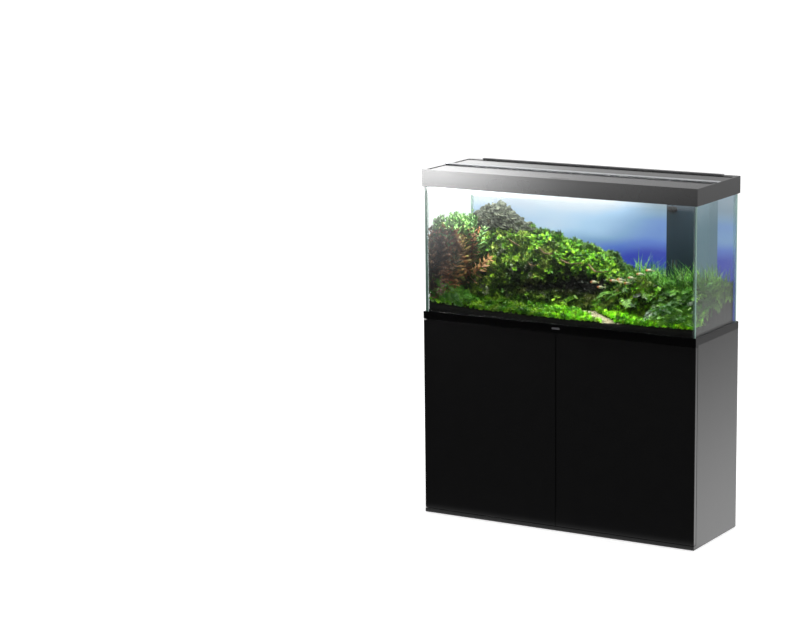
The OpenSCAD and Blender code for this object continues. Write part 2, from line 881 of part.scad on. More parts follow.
module front_carpet() {
  color([0.35, 0.6, 0.1])
  intersection() {
    mound(-in_x + 0.5, in_x - 0.5, -in_y + 0.5, carpet_y - 1, 20, 4,
      function(x, y) ground_z + carpet_h * (0.62 - 0.38 * x / in_x) + (y + in_y) / 6 + 0.6 * bumps(x, y));
    translate([0, 0, ground_z - over]) linear_extrude(carpet_h * 3) floor_plan(0.5);
  }
}

// ---- Filter ----

// The filter box is glued up from flat sheets: front, rear, two sides, floor and divider
module filter_body() {
  y0 = filt_y0 + filter_wall;
  y1 = in_y - filter_wall;
  floor_z = pane_z + filter_wall;
  color([0.08, 0.09, 0.1]) {
    difference() {
      span([filt_x0, filt_y0, pane_z], [filt_x1, y0, filt_z1]);
      translate([outlet_x, filt_y0 - over, outlet_z])
        rod_y(nozzle_r + fit_run, filter_wall + 2 * over);
      for (i = [0, 1])
        translate([slot_x + i * (slot_w + slot_bar), filt_y0 - over, slot_z - slot_h])
          cube([slot_w, filter_wall + 2 * over, slot_h]);
    }
    difference() {
      union() {
        span([filt_x0, y1, pane_z], [filt_x1, in_y, filt_z1]);
        // Two clips hold the heater off the rear sheet
        for (z = clip_zs)
          span([pump_x - heater_r - clip_wall, heater_y, z],
               [pump_x + heater_r + clip_wall, y1 + 0.5, z + clip_h]);
      }
      translate([pump_x, heater_y, heater_z0 - over])
        cylinder(r = heater_r + fit_run, h = heater_len + 2 * over);
    }
    for (x = [filt_x0, filt_x1 - filter_wall])
      span([x, y0 + glue_gap, pane_z], [x + filter_wall, y1 - glue_gap, filt_z1]);
    span([filt_x0 + filter_wall + glue_gap, y0 + glue_gap, pane_z],
         [filt_x1 - filter_wall - glue_gap, y1 - glue_gap, floor_z]);
    span([cham_x1 - filter_wall, y0 + glue_gap, floor_z + glue_gap],
         [cham_x1, y1 - glue_gap, divider_top]);
  }
}

module filter_lid() {
  mid = (filt_x0 + filt_x1) / 2;
  half_x = filter_w / 2 - filter_wall;
  half_y = filter_d / 2 - filter_wall;
  color([0.08, 0.09, 0.1]) {
    span([filt_x0, filt_y0, filt_z1], [filt_x1, in_y, filt_z1 + filter_wall]);
    translate([mid, (filt_y0 + in_y) / 2, filt_z1 - skirt_h])
      ring(half_x - skirt_gap, half_y - skirt_gap, half_x - filter_wall, half_y - filter_wall,
           skirt_h + filter_wall / 2);
    span([mid - grip_half, filt_y0 - grip_out, filt_z1],
         [mid + grip_half, filt_y0 + 1, filt_z1 + filter_wall]);
  }
}

module filter_cartridges() {
  inset = filter_wall + foam_gap;
  color([0.15, 0.35, 0.6])
  for (i = [0:2])
    translate([0, 0, pane_z + filter_wall + i * (cartridge_h + 2 * foam_gap)])
      span([filt_x0 + inset, filt_y0 + inset, 0],
           [cham_x1 - inset, in_y - inset, cartridge_h]);
}

module filter_pump() {
  rise = outlet_z - pane_z - filter_wall;
  elbow_x = outlet_x - pump_x;
  spout_y = filt_y0 + filter_wall + neck_len + 1 - pump_y;
  color([0.1, 0.1, 0.1])
  translate([pump_x, pump_y, pane_z + filter_wall]) {
    cylinder(r = pump_r, h = pump_h);
    translate([0, 0, pump_h - over]) cylinder(r = riser_r, h = rise - pump_h + over);
    translate([0, 0, rise]) sphere(r = riser_r);
    translate([elbow_x, 0, rise]) rod_x(riser_r, -elbow_x);
    translate([elbow_x, 0, rise]) sphere(r = riser_r);
    translate([elbow_x, spout_y, rise]) rod_y(riser_r, -spout_y);
  }
}

module heater() {
  color([0.75, 0.8, 0.8])
  translate([pump_x, heater_y, heater_z0]) {
    cylinder(r = heater_r, h = heater_len);
    translate([0, 0, heater_len]) cylinder(r = heater_r + 2, h = heater_cap_h);
    translate([0, 0, heater_len + heater_cap_h]) cylinder(r = heater_r - 2, h = heater_plug_h);
  }
}

// A flattened rod along Y, wider than it is high
module flat_rod(r, w, len) {
  for (s = [-1, 1]) translate([s * (w / 2 - r), 0, 0]) rod_y(r, len);
  translate([-w / 2 + r, 0, -r]) cube([w - 2 * r, len, 2 * r]);
}

module outlet_nozzle() {
  color([0.12, 0.12, 0.13])
  translate([outlet_x, filt_y0, outlet_z])
    difference() {
      union() {
        translate([0, -gap_move - head_len, 0]) flat_rod(head_r, head_w, head_len);
        translate([0, -gap_move - 1, 0]) rod_y(nozzle_r, filter_wall + neck_len + gap_move);
      }
      translate([0, -4, 0]) rod_y(nozzle_r - pipe_wall, filter_wall + head_len);
      // The mouth leans to one side, so turning the nozzle steers the flow
      translate([0, -3, 0])
        rotate([0, 0, mouth_angle])
        translate([0, -2.5 * head_len, 0])
        rod_y(nozzle_r - 2, 2.5 * head_len + 1);
    }
}

// ---- Hood ----

module open_ring(grow, shrink, z, h) {
  translate([0, (open_y0 + open_y1) / 2, z])
    ring(open_x + grow, (open_y1 - open_y0) / 2 + grow,
         open_x - shrink, (open_y1 - open_y0) / 2 - shrink, h);
}

// Front and rear profiles run the full width; the side profiles are mitred to them
module profile_region(side) {
  g = mitre_gap;
  translate([0, 0, hood_z0 - over])
    linear_extrude(hood_h + 2 * over)
    polygon(side
      ? [[hood_x, -hood_y + g], [hood_x, hood_y - g], [hood_x - hood_y + g, 0]]
      : [[-hood_x + g, -hood_y], [hood_x - g, -hood_y],
         [hood_x - hood_y - g, 0], [-hood_x + hood_y + g, 0]]);
}

module hood_frame() {
  color([0.05, 0.05, 0.055]) {
    intersection() {
      hood_section();
      profile_region(false);
    }
    intersection() {
      hood_section();
      mirror([0, 1, 0]) profile_region(false);
    }
    intersection() {
      hood_section();
      profile_region(true);
    }
    intersection() {
      hood_section();
      mirror([1, 0, 0]) profile_region(true);
    }
  }
}

module hood_section() {
  difference() {
    union() {
      translate([0, 0, hood_z0]) ring(hood_x, hood_y, hood_x - hood_wall, hood_y - hood_wall, hood_h);
      difference() {
        span([-hood_x, -hood_y, rim_z - rim_t], [hood_x, hood_y, rim_z]);
        span([-open_x, open_y0, rim_z - rim_t - over], [open_x, open_y1, rim_z + over]);
      }
      open_ring(3, 0, lip_z1 - lip_t, rim_z - rim_t - lip_z1 + lip_t + 0.5);
      open_ring(3, lip_w, lip_z1 - lip_t, lip_t);
      translate([0, 0, pane_top + gap_move])
        ring(hood_x - 1, hood_y - 1, in_x - 2, in_y - 2, hood_wall);
    }
    both_sides()
      translate([gland_x, hood_y - hood_wall - over, gland_z])
        rod_y(gland_r + gland_wall, hood_wall + 2 * over);
  }
}

module crossbar() {
  color([0.62, 0.63, 0.65])
  difference() {
    union() {
      span([-hood_x + 1, -bar_y, rim_z], [hood_x - 1, bar_y, rim_z + bar_t]);
      difference() {
        span([-open_x + lip_w + 0.5, -bar_y, rim_z - bar_depth], [open_x - lip_w - 0.5, bar_y, rim_z]);
        span([-open_x + lip_w + 3, -bar_y + bar_t, rim_z - bar_depth - over],
             [open_x - lip_w - 3, bar_y - bar_t, rim_z]);
      }
      for (x = hinge_xs, s = [-1, 1], e = [-1, 1])
        translate([x + e * (knuckle_w / 2 + gap_move + lug_w / 2) - lug_w / 2, 0, 0]) {
          translate([0, s * hinge_y, hinge_z]) rod_x(knuckle_r, lug_w);
          span([0, min(s * hinge_y, s * (bar_y - 0.5)), hinge_z - knuckle_r],
               [lug_w, max(s * hinge_y, s * (bar_y - 0.5)), hinge_z + knuckle_r]);
        }
    }
    for (x = hinge_xs, s = [-1, 1])
      translate([x - knuckle_w / 2 - lug_w - over, s * hinge_y, hinge_z])
        rod_x(lid_pin_r + fit_press, knuckle_w + 2 * lug_w + 2 * over);
  }
}

module lid_hinge_pins() {
  color("gainsboro")
  for (x = hinge_xs, s = [-1, 1])
    translate([x - knuckle_w / 2 - gap_move - lug_w, s * hinge_y, hinge_z])
      rod_x(lid_pin_r, knuckle_w + 2 * gap_move + 2 * lug_w);
}

// A lid lies from its hinge at the crossbar to the rim; far_y is its far edge, hinged at +Y
module lid(far_y) {
  difference() {
    union() {
      span([-open_x + lid_gap, lid_back, lid_z0], [open_x - lid_gap, far_y, lid_z1]);
      for (x = hinge_xs) translate([x - knuckle_w / 2, hinge_y, hinge_z]) rod_x(knuckle_r, knuckle_w);
    }
    // The corners at the hinge stay clear of the side lips as the lid swings
    both_sides()
      span([open_x - lip_w - 2 * gap_move, lid_back - over, lid_z0 - over],
           [open_x + over, hinge_y + knuckle_r + 1, lid_z1 + over]);
    for (x = hinge_xs) {
      translate([x - knuckle_w / 2 - over, hinge_y, hinge_z])
        rod_x(lid_pin_r + fit_run, knuckle_w + 2 * over);
      for (e = [-1, 1])
        translate([x + e * (knuckle_w / 2 + gap_move + lug_w / 2) - lug_w / 2 - gap_move, 0, 0])
          span([0, lid_back - over, lid_z0 - over],
               [lug_w + 2 * gap_move, hinge_y + knuckle_r + 1, lid_z1 + over]);
    }
  }
}

module front_lid() {
  far = -open_y0 - lid_gap;
  color([0.06, 0.06, 0.065])
  difference() {
    mirror([0, 1, 0]) lid(far);
    translate([0, -far + 12, lid_z1 - recess_deep]) {
      translate([-recess_w / 2 + 6, -6, 0]) cube([recess_w - 12, 12, recess_deep + over]);
      for (s = [-1, 1]) translate([s * (recess_w / 2 - 6), 0, 0]) cylinder(r = 6, h = recess_deep + over);
    }
  }
}

module rear_lid() {
  color([0.06, 0.06, 0.065]) lid(open_y1 - lid_gap);
}

module rear_strip() {
  color([0.05, 0.05, 0.055])
  span([-strip_len / 2, hood_y - strip_back - strip_w, rim_z],
       [strip_len / 2, hood_y - strip_back, rim_z + strip_h]);
}

module at_lights() {
  for (y = [-light_front_y, light_rear_y]) translate([0, y, light_z0]) children();
}

module light_profiles() {
  w = light_w / 2;
  groove = 3;
  color("silver")
  at_lights()
    rotate([90, 0, 90])
    linear_extrude(light_len, center = true)
    difference() {
      polygon([[-w, 0], [w, 0], [w, light_h - groove], [w - groove, light_h],
               [-w + groove, light_h], [-w, light_h - groove]]);
      // Cooling grooves along the top
      for (i = [-2:2])
        translate([i * (light_w - 10) / 5 - 1, light_h - groove]) square([2, groove + over]);
    }
}

module light_diffusers() {
  color("white")
  at_lights()
    translate([-light_len / 2 + 2, -light_w / 2 + 2, -diffuser_t])
      cube([light_len - 4, light_w - 4, diffuser_t]);
}

module light_ends() {
  color([0.1, 0.1, 0.1])
  both_sides()
    at_lights()
      span([light_len / 2, -light_w / 2 - 2, -diffuser_t],
           [hood_x - hood_wall, light_w / 2 + 2, light_h]);
}

module cable_glands() {
  color([0.1, 0.1, 0.1])
  both_sides()
    translate([gland_x, hood_y - hood_wall - gland_len, gland_z])
      difference() {
        union() {
          rod_y(gland_r + gland_wall, hood_wall + gland_len);
          rod_y(gland_r + gland_wall + 2, gland_len);
        }
        translate([0, -over, 0]) rod_y(gland_r, hood_wall + gland_len + 2 * over);
      }
}

side_panel_left();
side_panel_right();
bottom_plate();
top_panel();
centre_divider();
back_panel_left();
back_panel_right();
shelf_left();
shelf_right();
shelf_pins();
cam_discs();
cam_bolts();
dowels();
glides();
cable_grommets();
hinge_arms_left();
hinge_arms_right();
hinge_screws();
latch_housings();
door_bumpers();
door_left();
door_right();
hinge_cups_left();
hinge_cups_right();
hinge_pins_left();
hinge_pins_right();
latch_plunger_left();
latch_plunger_right();
base_frame();
badge();
bottom_pane();
front_pane();
rear_pane();
end_panes();
silicone_seams();
glass_braces();
background_film();
gravel_bed();
rock();
planted_hill();
stem_plants();
back_plants();
fern_bed();
front_carpet();
filter_body();
filter_lid();
filter_cartridges();
filter_pump();
heater();
outlet_nozzle();
hood_frame();
crossbar();
rear_strip();
lid_hinge_pins();
light_profiles();
light_diffusers();
light_ends();
cable_glands();
front_lid();
rear_lid();
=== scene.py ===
import bpy
import bmesh
import json
import math
import numpy as np
from mathutils import Matrix, Vector

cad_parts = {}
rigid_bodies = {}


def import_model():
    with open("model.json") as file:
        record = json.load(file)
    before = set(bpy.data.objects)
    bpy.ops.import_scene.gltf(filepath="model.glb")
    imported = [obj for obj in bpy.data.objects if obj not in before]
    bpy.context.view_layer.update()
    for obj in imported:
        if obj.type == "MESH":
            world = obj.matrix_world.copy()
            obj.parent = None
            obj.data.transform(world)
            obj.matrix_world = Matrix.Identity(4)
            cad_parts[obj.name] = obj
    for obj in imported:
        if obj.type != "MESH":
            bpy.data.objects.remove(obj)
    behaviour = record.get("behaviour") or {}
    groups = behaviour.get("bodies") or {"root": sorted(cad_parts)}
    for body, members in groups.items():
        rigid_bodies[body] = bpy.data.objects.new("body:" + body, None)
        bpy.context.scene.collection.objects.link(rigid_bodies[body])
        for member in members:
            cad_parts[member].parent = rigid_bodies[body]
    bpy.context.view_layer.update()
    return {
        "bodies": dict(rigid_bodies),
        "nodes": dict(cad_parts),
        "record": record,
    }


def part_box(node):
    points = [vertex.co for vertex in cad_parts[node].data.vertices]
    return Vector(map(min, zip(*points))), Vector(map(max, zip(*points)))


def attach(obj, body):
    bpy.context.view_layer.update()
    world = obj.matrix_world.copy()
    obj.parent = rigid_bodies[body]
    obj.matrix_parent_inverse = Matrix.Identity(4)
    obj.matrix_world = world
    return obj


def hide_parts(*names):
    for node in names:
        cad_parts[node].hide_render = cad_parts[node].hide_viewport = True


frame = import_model()
cadNodes = frame["nodes"]
bodies = frame["bodies"]
nodeBody = {node: body for body, held in frame["record"]["behaviour"]["bodies"].items() for node in held}
stage = bpy.context.scene
stage.view_settings.view_transform = "Standard"
tankBody = "cabinet_and_tank"
print("frame loaded:", len(cadNodes), "nodes")


view = {"place": (4.7314, -9.1987, 2.8838), "turn": 31.192, "tilt": 11.2236, "roll": -0.6902, "lens": 118.15}


def placeCamera():
    eye = bpy.data.cameras.new("view")
    eye.lens = view["lens"]
    eye.sensor_width = 36
    eye.clip_end = 60
    holder = bpy.data.objects.new("view", eye)
    turn = Matrix.Rotation(math.radians(view["turn"]), 4, "Z")
    tilt = Matrix.Rotation(math.radians(90 - view["tilt"]), 4, "X")
    roll = Matrix.Rotation(math.radians(view["roll"]), 4, "Z")
    holder.matrix_world = Matrix.Translation(view["place"]) @ turn @ tilt @ roll
    stage.collection.objects.link(holder)
    stage.camera = holder


class Tree:
    def __init__(self, owner):
        owner.use_nodes = True
        self.tree = owner.node_tree
        self.tree.nodes.clear()

    def add(self, kind, settings=None, **sockets):
        node = self.tree.nodes.new("ShaderNode" + kind)
        for key, value in (settings or {}).items():
            setattr(node, key, value)
        for key, value in sockets.items():
            self.put(node, key, value)
        return node

    # a socket goes by its name, or by i and its number; Fac is always the first
    def put(self, node, key, value):
        if key == "Fac":
            socket = node.inputs[0]
        elif key[0] == "i" and key[1:].isdigit():
            socket = node.inputs[int(key[1:])]
        else:
            socket = node.inputs[key.replace("_", " ")]
        if isinstance(value, bpy.types.NodeSocket):
            self.tree.links.new(value, socket)
        elif isinstance(value, bpy.types.Node):
            self.tree.links.new(value.outputs[0], socket)
        elif socket.type == "RGBA" and len(value) == 3:
            socket.default_value = (*value, 1)
        else:
            socket.default_value = value

    def ramp(self, fac, stops):
        node = self.add("ValToRGB")
        band = node.color_ramp
        band.interpolation = "LINEAR"
        while len(band.elements) < len(stops):
            band.elements.new(0.5)
        for element, (place, colour) in zip(band.elements, stops):
            element.position = place
            element.color = (*colour, 1) if len(colour) == 3 else colour
        self.put(node, "Fac", fac)
        return node

    def mix(self, fac, a, b, kind="MIX"):
        node = self.add("Mix", {"data_type": "RGBA", "blend_type": kind})
        self.put(node, "i0", fac)
        for index, value in ((6, a), (7, b)):
            self.put(node, f"i{index}", value)
        return node.outputs[2]

    def math(self, kind, a, b=0.0):
        return self.add("Math", {"operation": kind}, i0=a, i1=b).outputs[0]

    def out(self, surface):
        node = self.add("OutputMaterial")
        self.put(node, "Surface", surface)


def srgb(*levels):
    return tuple((v / 255) ** 2.2 for v in levels)


room = {"bright": 1.05, "dark": 0.05, "towards": (0.45, 0.78, 0.42), "floorNear": 1.75, "floorFar": 0.30,
        "floorEnd": 0.35, "floorDark": 0.10}


def buildRoom():
    world = bpy.data.worlds.new("room")
    stage.world = world
    t = Tree(world)
    coords = t.add("TexCoord")
    dot = t.add("VectorMath", {"operation": "DOT_PRODUCT"}, i0=coords.outputs["Generated"],
                i1=room["towards"])
    level = t.add("MapRange", {"interpolation_type": "SMOOTHSTEP"}, i0=dot.outputs["Value"], i1=-0.35,
                  i2=0.75, i3=room["dark"], i4=room["bright"])
    white = t.add("Background", Color=(1, 1, 1), Strength=1.0)
    soft = t.add("Background", Color=(1, 1, 1), Strength=level)
    path = t.add("LightPath")
    both = t.add("MixShader", Fac=path.outputs["Is Camera Ray"], i1=soft, i2=white)
    out = t.add("OutputWorld")
    t.put(out, "Surface", both)

    mesh = bpy.data.meshes.new("floor")
    bm = bmesh.new()
    bmesh.ops.create_grid(bm, x_segments=1, y_segments=1, size=30)
    bm.to_mesh(mesh)
    bm.free()
    floor = bpy.data.objects.new("floor", mesh)
    stage.collection.objects.link(floor)
    paint = bpy.data.materials.new("floor")
    mesh.materials.append(paint)
    t = Tree(paint)
    coords = t.add("TexCoord")
    part = t.add("SeparateXYZ", Vector=coords.outputs["Object"])
    away = t.add("MapRange", {"interpolation_type": "SMOOTHSTEP"}, i0=part.outputs["X"], i1=0.5, i2=3.0,
                 i3=room["floorNear"], i4=room["floorFar"])
    behind = t.add("MapRange", {"interpolation_type": "SMOOTHSTEP"}, i0=part.outputs["Y"], i1=-0.35, i2=-0.05)
    end = t.add("MapRange", {"interpolation_type": "SMOOTHSTEP"}, i0=part.outputs["X"], i1=3.7, i2=4.3,
                i4=room["floorEnd"])
    level = t.math("ADD", t.math("MULTIPLY", t.math("ADD", away, end), behind), room["floorDark"])
    glow = t.add("Emission", Color=(1, 1, 1), Strength=level)
    plain = t.add("BsdfDiffuse", Color=(0.86, 0.86, 0.86))
    lift = t.add("Emission", Color=(1, 1, 1), Strength=0.62)
    seen = t.add("AddShader", i0=plain, i1=lift)
    path = t.add("LightPath")
    t.out(t.add("MixShader", Fac=path.outputs["Is Camera Ray"], i1=glow, i2=seen).outputs[0])


def areaLight(name, place, aim, size, power, colour=(1, 1, 1), body=None):
    lamp = bpy.data.lights.new(name, "AREA")
    lamp.shape = "RECTANGLE"
    lamp.size, lamp.size_y = size
    lamp.energy = power
    lamp.color = colour
    holder = bpy.data.objects.new(name, lamp)
    way = Vector(aim) - Vector(place)
    holder.rotation_euler = way.to_track_quat("-Z", "Y").to_euler()
    holder.location = place
    holder.visible_camera = False
    stage.collection.objects.link(holder)
    if body:
        bpy.context.view_layer.update()
        world = holder.matrix_world.copy()
        holder.parent = bodies[body]
        holder.matrix_world = world
    return holder


lamps = {"topPower": 60, "tankPower": 4.2, "tankColour": (1.0, 0.98, 0.93)}


def lightObject():
    areaLight("overhead", (-0.6, -0.8, 4.2), (0, 0, 0.8), (3.2, 2.4), lamps["topPower"])
    low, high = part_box("light_diffusers")
    for side, y in (("front", low.y + 0.02), ("rear", high.y - 0.02)):
        size = (high.x - low.x - 0.04, 0.03)
        lamp = areaLight("tank_light_" + side, (0, y, low.z - 0.004), (0, y, 0), size, lamps["tankPower"],
                         lamps["tankColour"], "hood")
        lamp.data.spread = math.radians(150)


# soft cards that only reflections see: the glare on the left of the hood and of the front pane
cards = {
    "front": {"x": (-2.95, -0.65), "z": (0.74, 1.55), "y": -3.632, "level": 25.5,
              "across": [(0.14, 1.0), (0.23, 0.86), (0.32, 0.56), (0.41, 0.29), (0.5, 0.155), (0.59, 0.10),
                         (0.86, 0.06)],
              "up": [(0.0, 0.34), (0.05, 1.0)]},
    "low": {"x": (-2.95, -0.65), "z": (0.05, 0.738), "y": -3.632, "level": 25.5,
            "across": [(0.12, 1.0), (0.18, 0.62), (0.25, 0.26), (0.34, 0.13), (0.5, 0.07), (0.86, 0.03)],
            "up": [(0.1, 0.0), (0.34, 0.014), (0.53, 0.045), (0.72, 0.10), (0.91, 0.24), (1.0, 0.34)]},
    "rear": {"x": (-3.4, -0.9), "z": (1.3, 3.0), "y": 4.0, "level": 2.3,
             "across": [(0.16, 1.0), (0.31, 0.76), (0.42, 0.46), (0.54, 0.29), (0.65, 0.24), (0.86, 0.19)],
             "up": [(0.0, 1.0), (1.0, 1.0)]},
}


def buildCard(name):
    card = cards[name]
    bm = bmesh.new()
    bmesh.ops.create_grid(bm, x_segments=1, y_segments=1, size=0.5)
    bmesh.ops.rotate(bm, verts=bm.verts, cent=(0, 0, 0), matrix=Matrix.Rotation(math.pi / 2, 3, "X"))
    (left, right), (low, high) = card["x"], card["z"]
    bmesh.ops.scale(bm, vec=(right - left, 1, high - low), verts=bm.verts)
    bmesh.ops.translate(bm, vec=((left + right) / 2, card["y"], (low + high) / 2), verts=bm.verts)
    mesh = bpy.data.meshes.new("card_" + name)
    bm.to_mesh(mesh)
    bm.free()
    piece = bpy.data.objects.new("card_" + name, mesh)
    stage.collection.objects.link(piece)
    piece.visible_camera = piece.visible_diffuse = piece.visible_shadow = False
    paint = bpy.data.materials.new("card_" + name)
    mesh.materials.append(paint)
    t = Tree(paint)
    part = t.add("SeparateXYZ", Vector=t.add("TexCoord").outputs["Object"])
    across = t.ramp(t.add("MapRange", i0=part.outputs["X"], i1=left, i2=right),
                    [(k, (v,) * 3) for k, v in card["across"]])
    up = t.ramp(t.add("MapRange", i0=part.outputs["Z"], i1=low, i2=high),
                [(k, (v,) * 3) for k, v in card["up"]])
    level = t.math("MULTIPLY", t.math("MULTIPLY", across, up), card["level"])
    t.out(t.add("Emission", Strength=level).outputs[0])


placeCamera()
buildRoom()
for cardName in cards:
    buildCard(cardName)
lightObject()
print("camera, room and lights placed")


# finish of each hard surface: colours, grain size in 1/m, roughness and bump
finishes = {
    "laminate": {"low": (0.0035, 0.0035, 0.004), "high": (0.006, 0.006, 0.0065), "grain": 900,
                 "rough": (0.20, 0.30), "bump": 0.05, "spec": 0.5},
    "doorLaminate": {"low": (0.003, 0.003, 0.0035), "high": (0.005, 0.005, 0.0055), "grain": 900,
                     "rough": (0.09, 0.15), "bump": 0.03, "spec": 0.5},
    "backBoard": {"low": (0.012, 0.012, 0.013), "high": (0.02, 0.02, 0.021), "grain": 300,
                  "rough": (0.55, 0.7), "bump": 0.1, "spec": 0.4},
    "hoodPlastic": {"low": (0.010, 0.010, 0.011), "high": (0.016, 0.016, 0.017), "grain": 700,
                    "rough": (0.10, 0.18), "bump": 0.03, "spec": 0.5},
    "basePlastic": {"low": (0.0015, 0.0015, 0.002), "high": (0.003, 0.003, 0.0035), "grain": 500,
                    "rough": (0.08, 0.13), "bump": 0.03, "spec": 0.2},
    "stripPlastic": {"low": (0.30, 0.30, 0.305), "high": (0.38, 0.38, 0.385), "grain": 500,
                     "rough": (0.4, 0.55), "bump": 0.05, "spec": 0.5},
    "nozzlePlastic": {"low": (0.002, 0.002, 0.003), "high": (0.004, 0.004, 0.005), "grain": 500,
                      "rough": (0.5, 0.6), "bump": 0.05, "spec": 0.12},
    "blackPlastic": {"low": (0.012, 0.012, 0.012), "high": (0.02, 0.02, 0.02), "grain": 600,
                     "rough": (0.4, 0.55), "bump": 0.12, "spec": 0.5},
    "whitePlastic": {"low": (0.72, 0.72, 0.70), "high": (0.8, 0.8, 0.78), "grain": 500,
                     "rough": (0.35, 0.5), "bump": 0.05, "spec": 0.5},
    # the filter box wears painted light: its +X side and right edge glow teal
    "filterPlastic": {"low": (0.008, 0.018, 0.028), "high": (0.012, 0.024, 0.036), "grain": 500,
                      "rough": (0.50, 0.52), "bump": 0.0, "spec": 0.1, "paintedSideLight": (0.075, 0.155, 0.19)},
    "steel": {"low": (0.50, 0.50, 0.51), "high": (0.66, 0.66, 0.67), "grain": 400, "rough": (0.22, 0.36),
              "bump": 0.05, "spec": 0.5, "metal": 1.0},
    "screwSteel": {"low": (0.42, 0.42, 0.44), "high": (0.60, 0.60, 0.62), "grain": 600,
                   "rough": (0.28, 0.45), "bump": 0.08, "spec": 0.5, "metal": 1.0},
    "satinMetal": {"low": (0.42, 0.43, 0.45), "high": (0.56, 0.57, 0.59), "grain": 500,
                   "rough": (0.30, 0.42), "bump": 0.04, "spec": 0.5, "metal": 1.0,
                   "stretch": (0.02, 1, 1)},
    "anodised": {"low": (0.55, 0.56, 0.58), "high": (0.68, 0.69, 0.7), "grain": 500, "rough": (0.28, 0.4),
                 "bump": 0.05, "spec": 0.5, "metal": 1.0, "stretch": (0.02, 1, 1)},
    "badgeMetal": {"low": (0.06, 0.06, 0.065), "high": (0.12, 0.12, 0.125), "grain": 900,
                   "rough": (0.3, 0.45), "bump": 0.05, "spec": 0.5, "metal": 1.0,
                   "stretch": (0.05, 1, 1)},
    "softRubber": {"low": (0.22, 0.22, 0.22), "high": (0.32, 0.32, 0.32), "grain": 300,
                   "rough": (0.5, 0.65), "bump": 0.08, "spec": 0.4},
    "blackRubber": {"low": (0.008, 0.008, 0.008), "high": (0.014, 0.014, 0.014), "grain": 200,
                    "rough": (0.35, 0.5), "bump": 0.1, "spec": 0.5},
}
paints = {}


def hardFinish(name):
    look = finishes[name]
    paint = bpy.data.materials.new(name)
    t = Tree(paint)
    coords = t.add("TexCoord")
    place = t.add("Mapping", Vector=coords.outputs["Object"], Scale=look.get("stretch", (1, 1, 1)))
    broad = t.add("TexNoise", Vector=place, Scale=look["grain"] / 60, Detail=3.0)
    fine = t.add("TexNoise", Vector=place, Scale=float(look["grain"]), Detail=2.0)
    colour = t.ramp(broad.outputs["Fac"], [(0.3, look["low"]), (0.7, look["high"])])
    total = t.math("ADD", t.math("MULTIPLY", fine.outputs["Fac"], 0.6),
                   t.math("MULTIPLY", broad.outputs["Fac"], 0.4))
    rough = t.add("MapRange", Value=total, i3=look["rough"][0], i4=look["rough"][1])
    bump = t.add("Bump", Strength=look["bump"], Distance=0.0006, Height=fine.outputs["Fac"])
    shell = t.add("BsdfPrincipled", Base_Color=colour, Roughness=rough, Normal=bump)
    shell.inputs["Metallic"].default_value = look.get("metal", 0.0)
    shell.inputs["Specular IOR Level"].default_value = look["spec"]
    # painted light: the +X side of the box and a strip at its right edge glow teal as if lit from the edge of
    # the film
    if "paintedSideLight" in look:
        normal = t.add("SeparateXYZ", Vector=t.add("NewGeometry").outputs["True Normal"])
        shell.inputs["Emission Strength"].default_value = 1.0
        dimmer = tuple(v * 0.94 for v in look["paintedSideLight"])
        tint = t.ramp(broad.outputs["Fac"], [(0.3, look["paintedSideLight"]), (0.7, dimmer)])
        spot = t.add("SeparateXYZ", Vector=coords.outputs["Object"])
        edge = t.add("MapRange", {"interpolation_type": "SMOOTHSTEP"}, i0=spot.outputs["X"], i1=0.455,
                     i2=0.475)
        lit = t.math("MAXIMUM", t.math("GREATER_THAN", normal.outputs["X"], 0.5), edge)
        t.put(shell, "Emission Color", t.mix(lit, (0.0, 0.0, 0.0), tint))
    t.out(shell.outputs[0])
    return paint


for finishName in finishes:
    paints[finishName] = hardFinish(finishName)


pane = {"clear": (0.985, 0.997, 0.993), "edge": (0.30, 0.50, 0.42), "front": 0.04, "edgeGlow": 0.08}


# clear faces mirror a little, more at a slant; the cut edges show green and glow a little with painted light
def glassFinish(name, edgeAxis=None):
    paint = bpy.data.materials.new(name)
    t = Tree(paint)
    facing = t.add("LayerWeight", Blend=0.5).outputs["Facing"]
    steep = t.math("POWER", facing, 5.0)
    share = t.math("ADD", t.math("MULTIPLY", steep, 1 - pane["front"]), pane["front"])
    coords = t.add("TexCoord")
    cloud = t.add("TexNoise", Vector=coords.outputs["Object"], Scale=3.0, Detail=3.0)
    tint = t.ramp(cloud.outputs["Fac"], [(0.3, pane["clear"]), (0.7, tuple(c * 0.99 for c in pane["clear"]))])
    through = t.add("BsdfTransparent", Color=tint)
    mirror = t.add("BsdfGlossy", Color=(1, 1, 1), Roughness=0.02)
    clear = t.add("MixShader", Fac=share, i1=through, i2=mirror)
    if edgeAxis is None:
        t.out(clear.outputs[0])
        return paint
    normal = t.add("SeparateXYZ", Vector=t.add("NewGeometry").outputs["True Normal"])
    flat = t.math("ABSOLUTE", normal.outputs[edgeAxis])
    onEdge = t.math("LESS_THAN", flat, 0.5)
    green = t.ramp(cloud.outputs["Fac"], [(0.35, pane["edge"]), (0.65, tuple(c * 0.8 for c in pane["edge"]))])
    edge = t.add("BsdfPrincipled", Base_Color=green, Roughness=0.25)
    t.put(edge, "Emission Color", green)
    edge.inputs["Emission Strength"].default_value = pane["edgeGlow"]
    t.out(t.add("MixShader", Fac=onEdge, i1=clear, i2=edge).outputs[0])
    return paint


paints["frontGlass"] = glassFinish("frontGlass", 1)
paints["endGlass"] = glassFinish("endGlass", 0)
paints["flatGlass"] = glassFinish("flatGlass", 2)
paints["tubeGlass"] = glassFinish("tubeGlass")


def siliconeFinish():
    paint = bpy.data.materials.new("clearSilicone")
    t = Tree(paint)
    cloud = t.add("TexNoise", Vector=t.add("TexCoord").outputs["Object"], Scale=60.0, Detail=2.0)
    tint = t.ramp(cloud.outputs["Fac"], [(0.3, (0.45, 0.55, 0.52)), (0.7, (0.60, 0.70, 0.67))])
    body = t.add("BsdfPrincipled", Base_Color=tint, Roughness=0.35)
    through = t.add("BsdfTransparent", Color=(0.95, 0.98, 0.97))
    t.out(t.add("MixShader", Fac=0.22, i1=through, i2=body).outputs[0])
    return paint


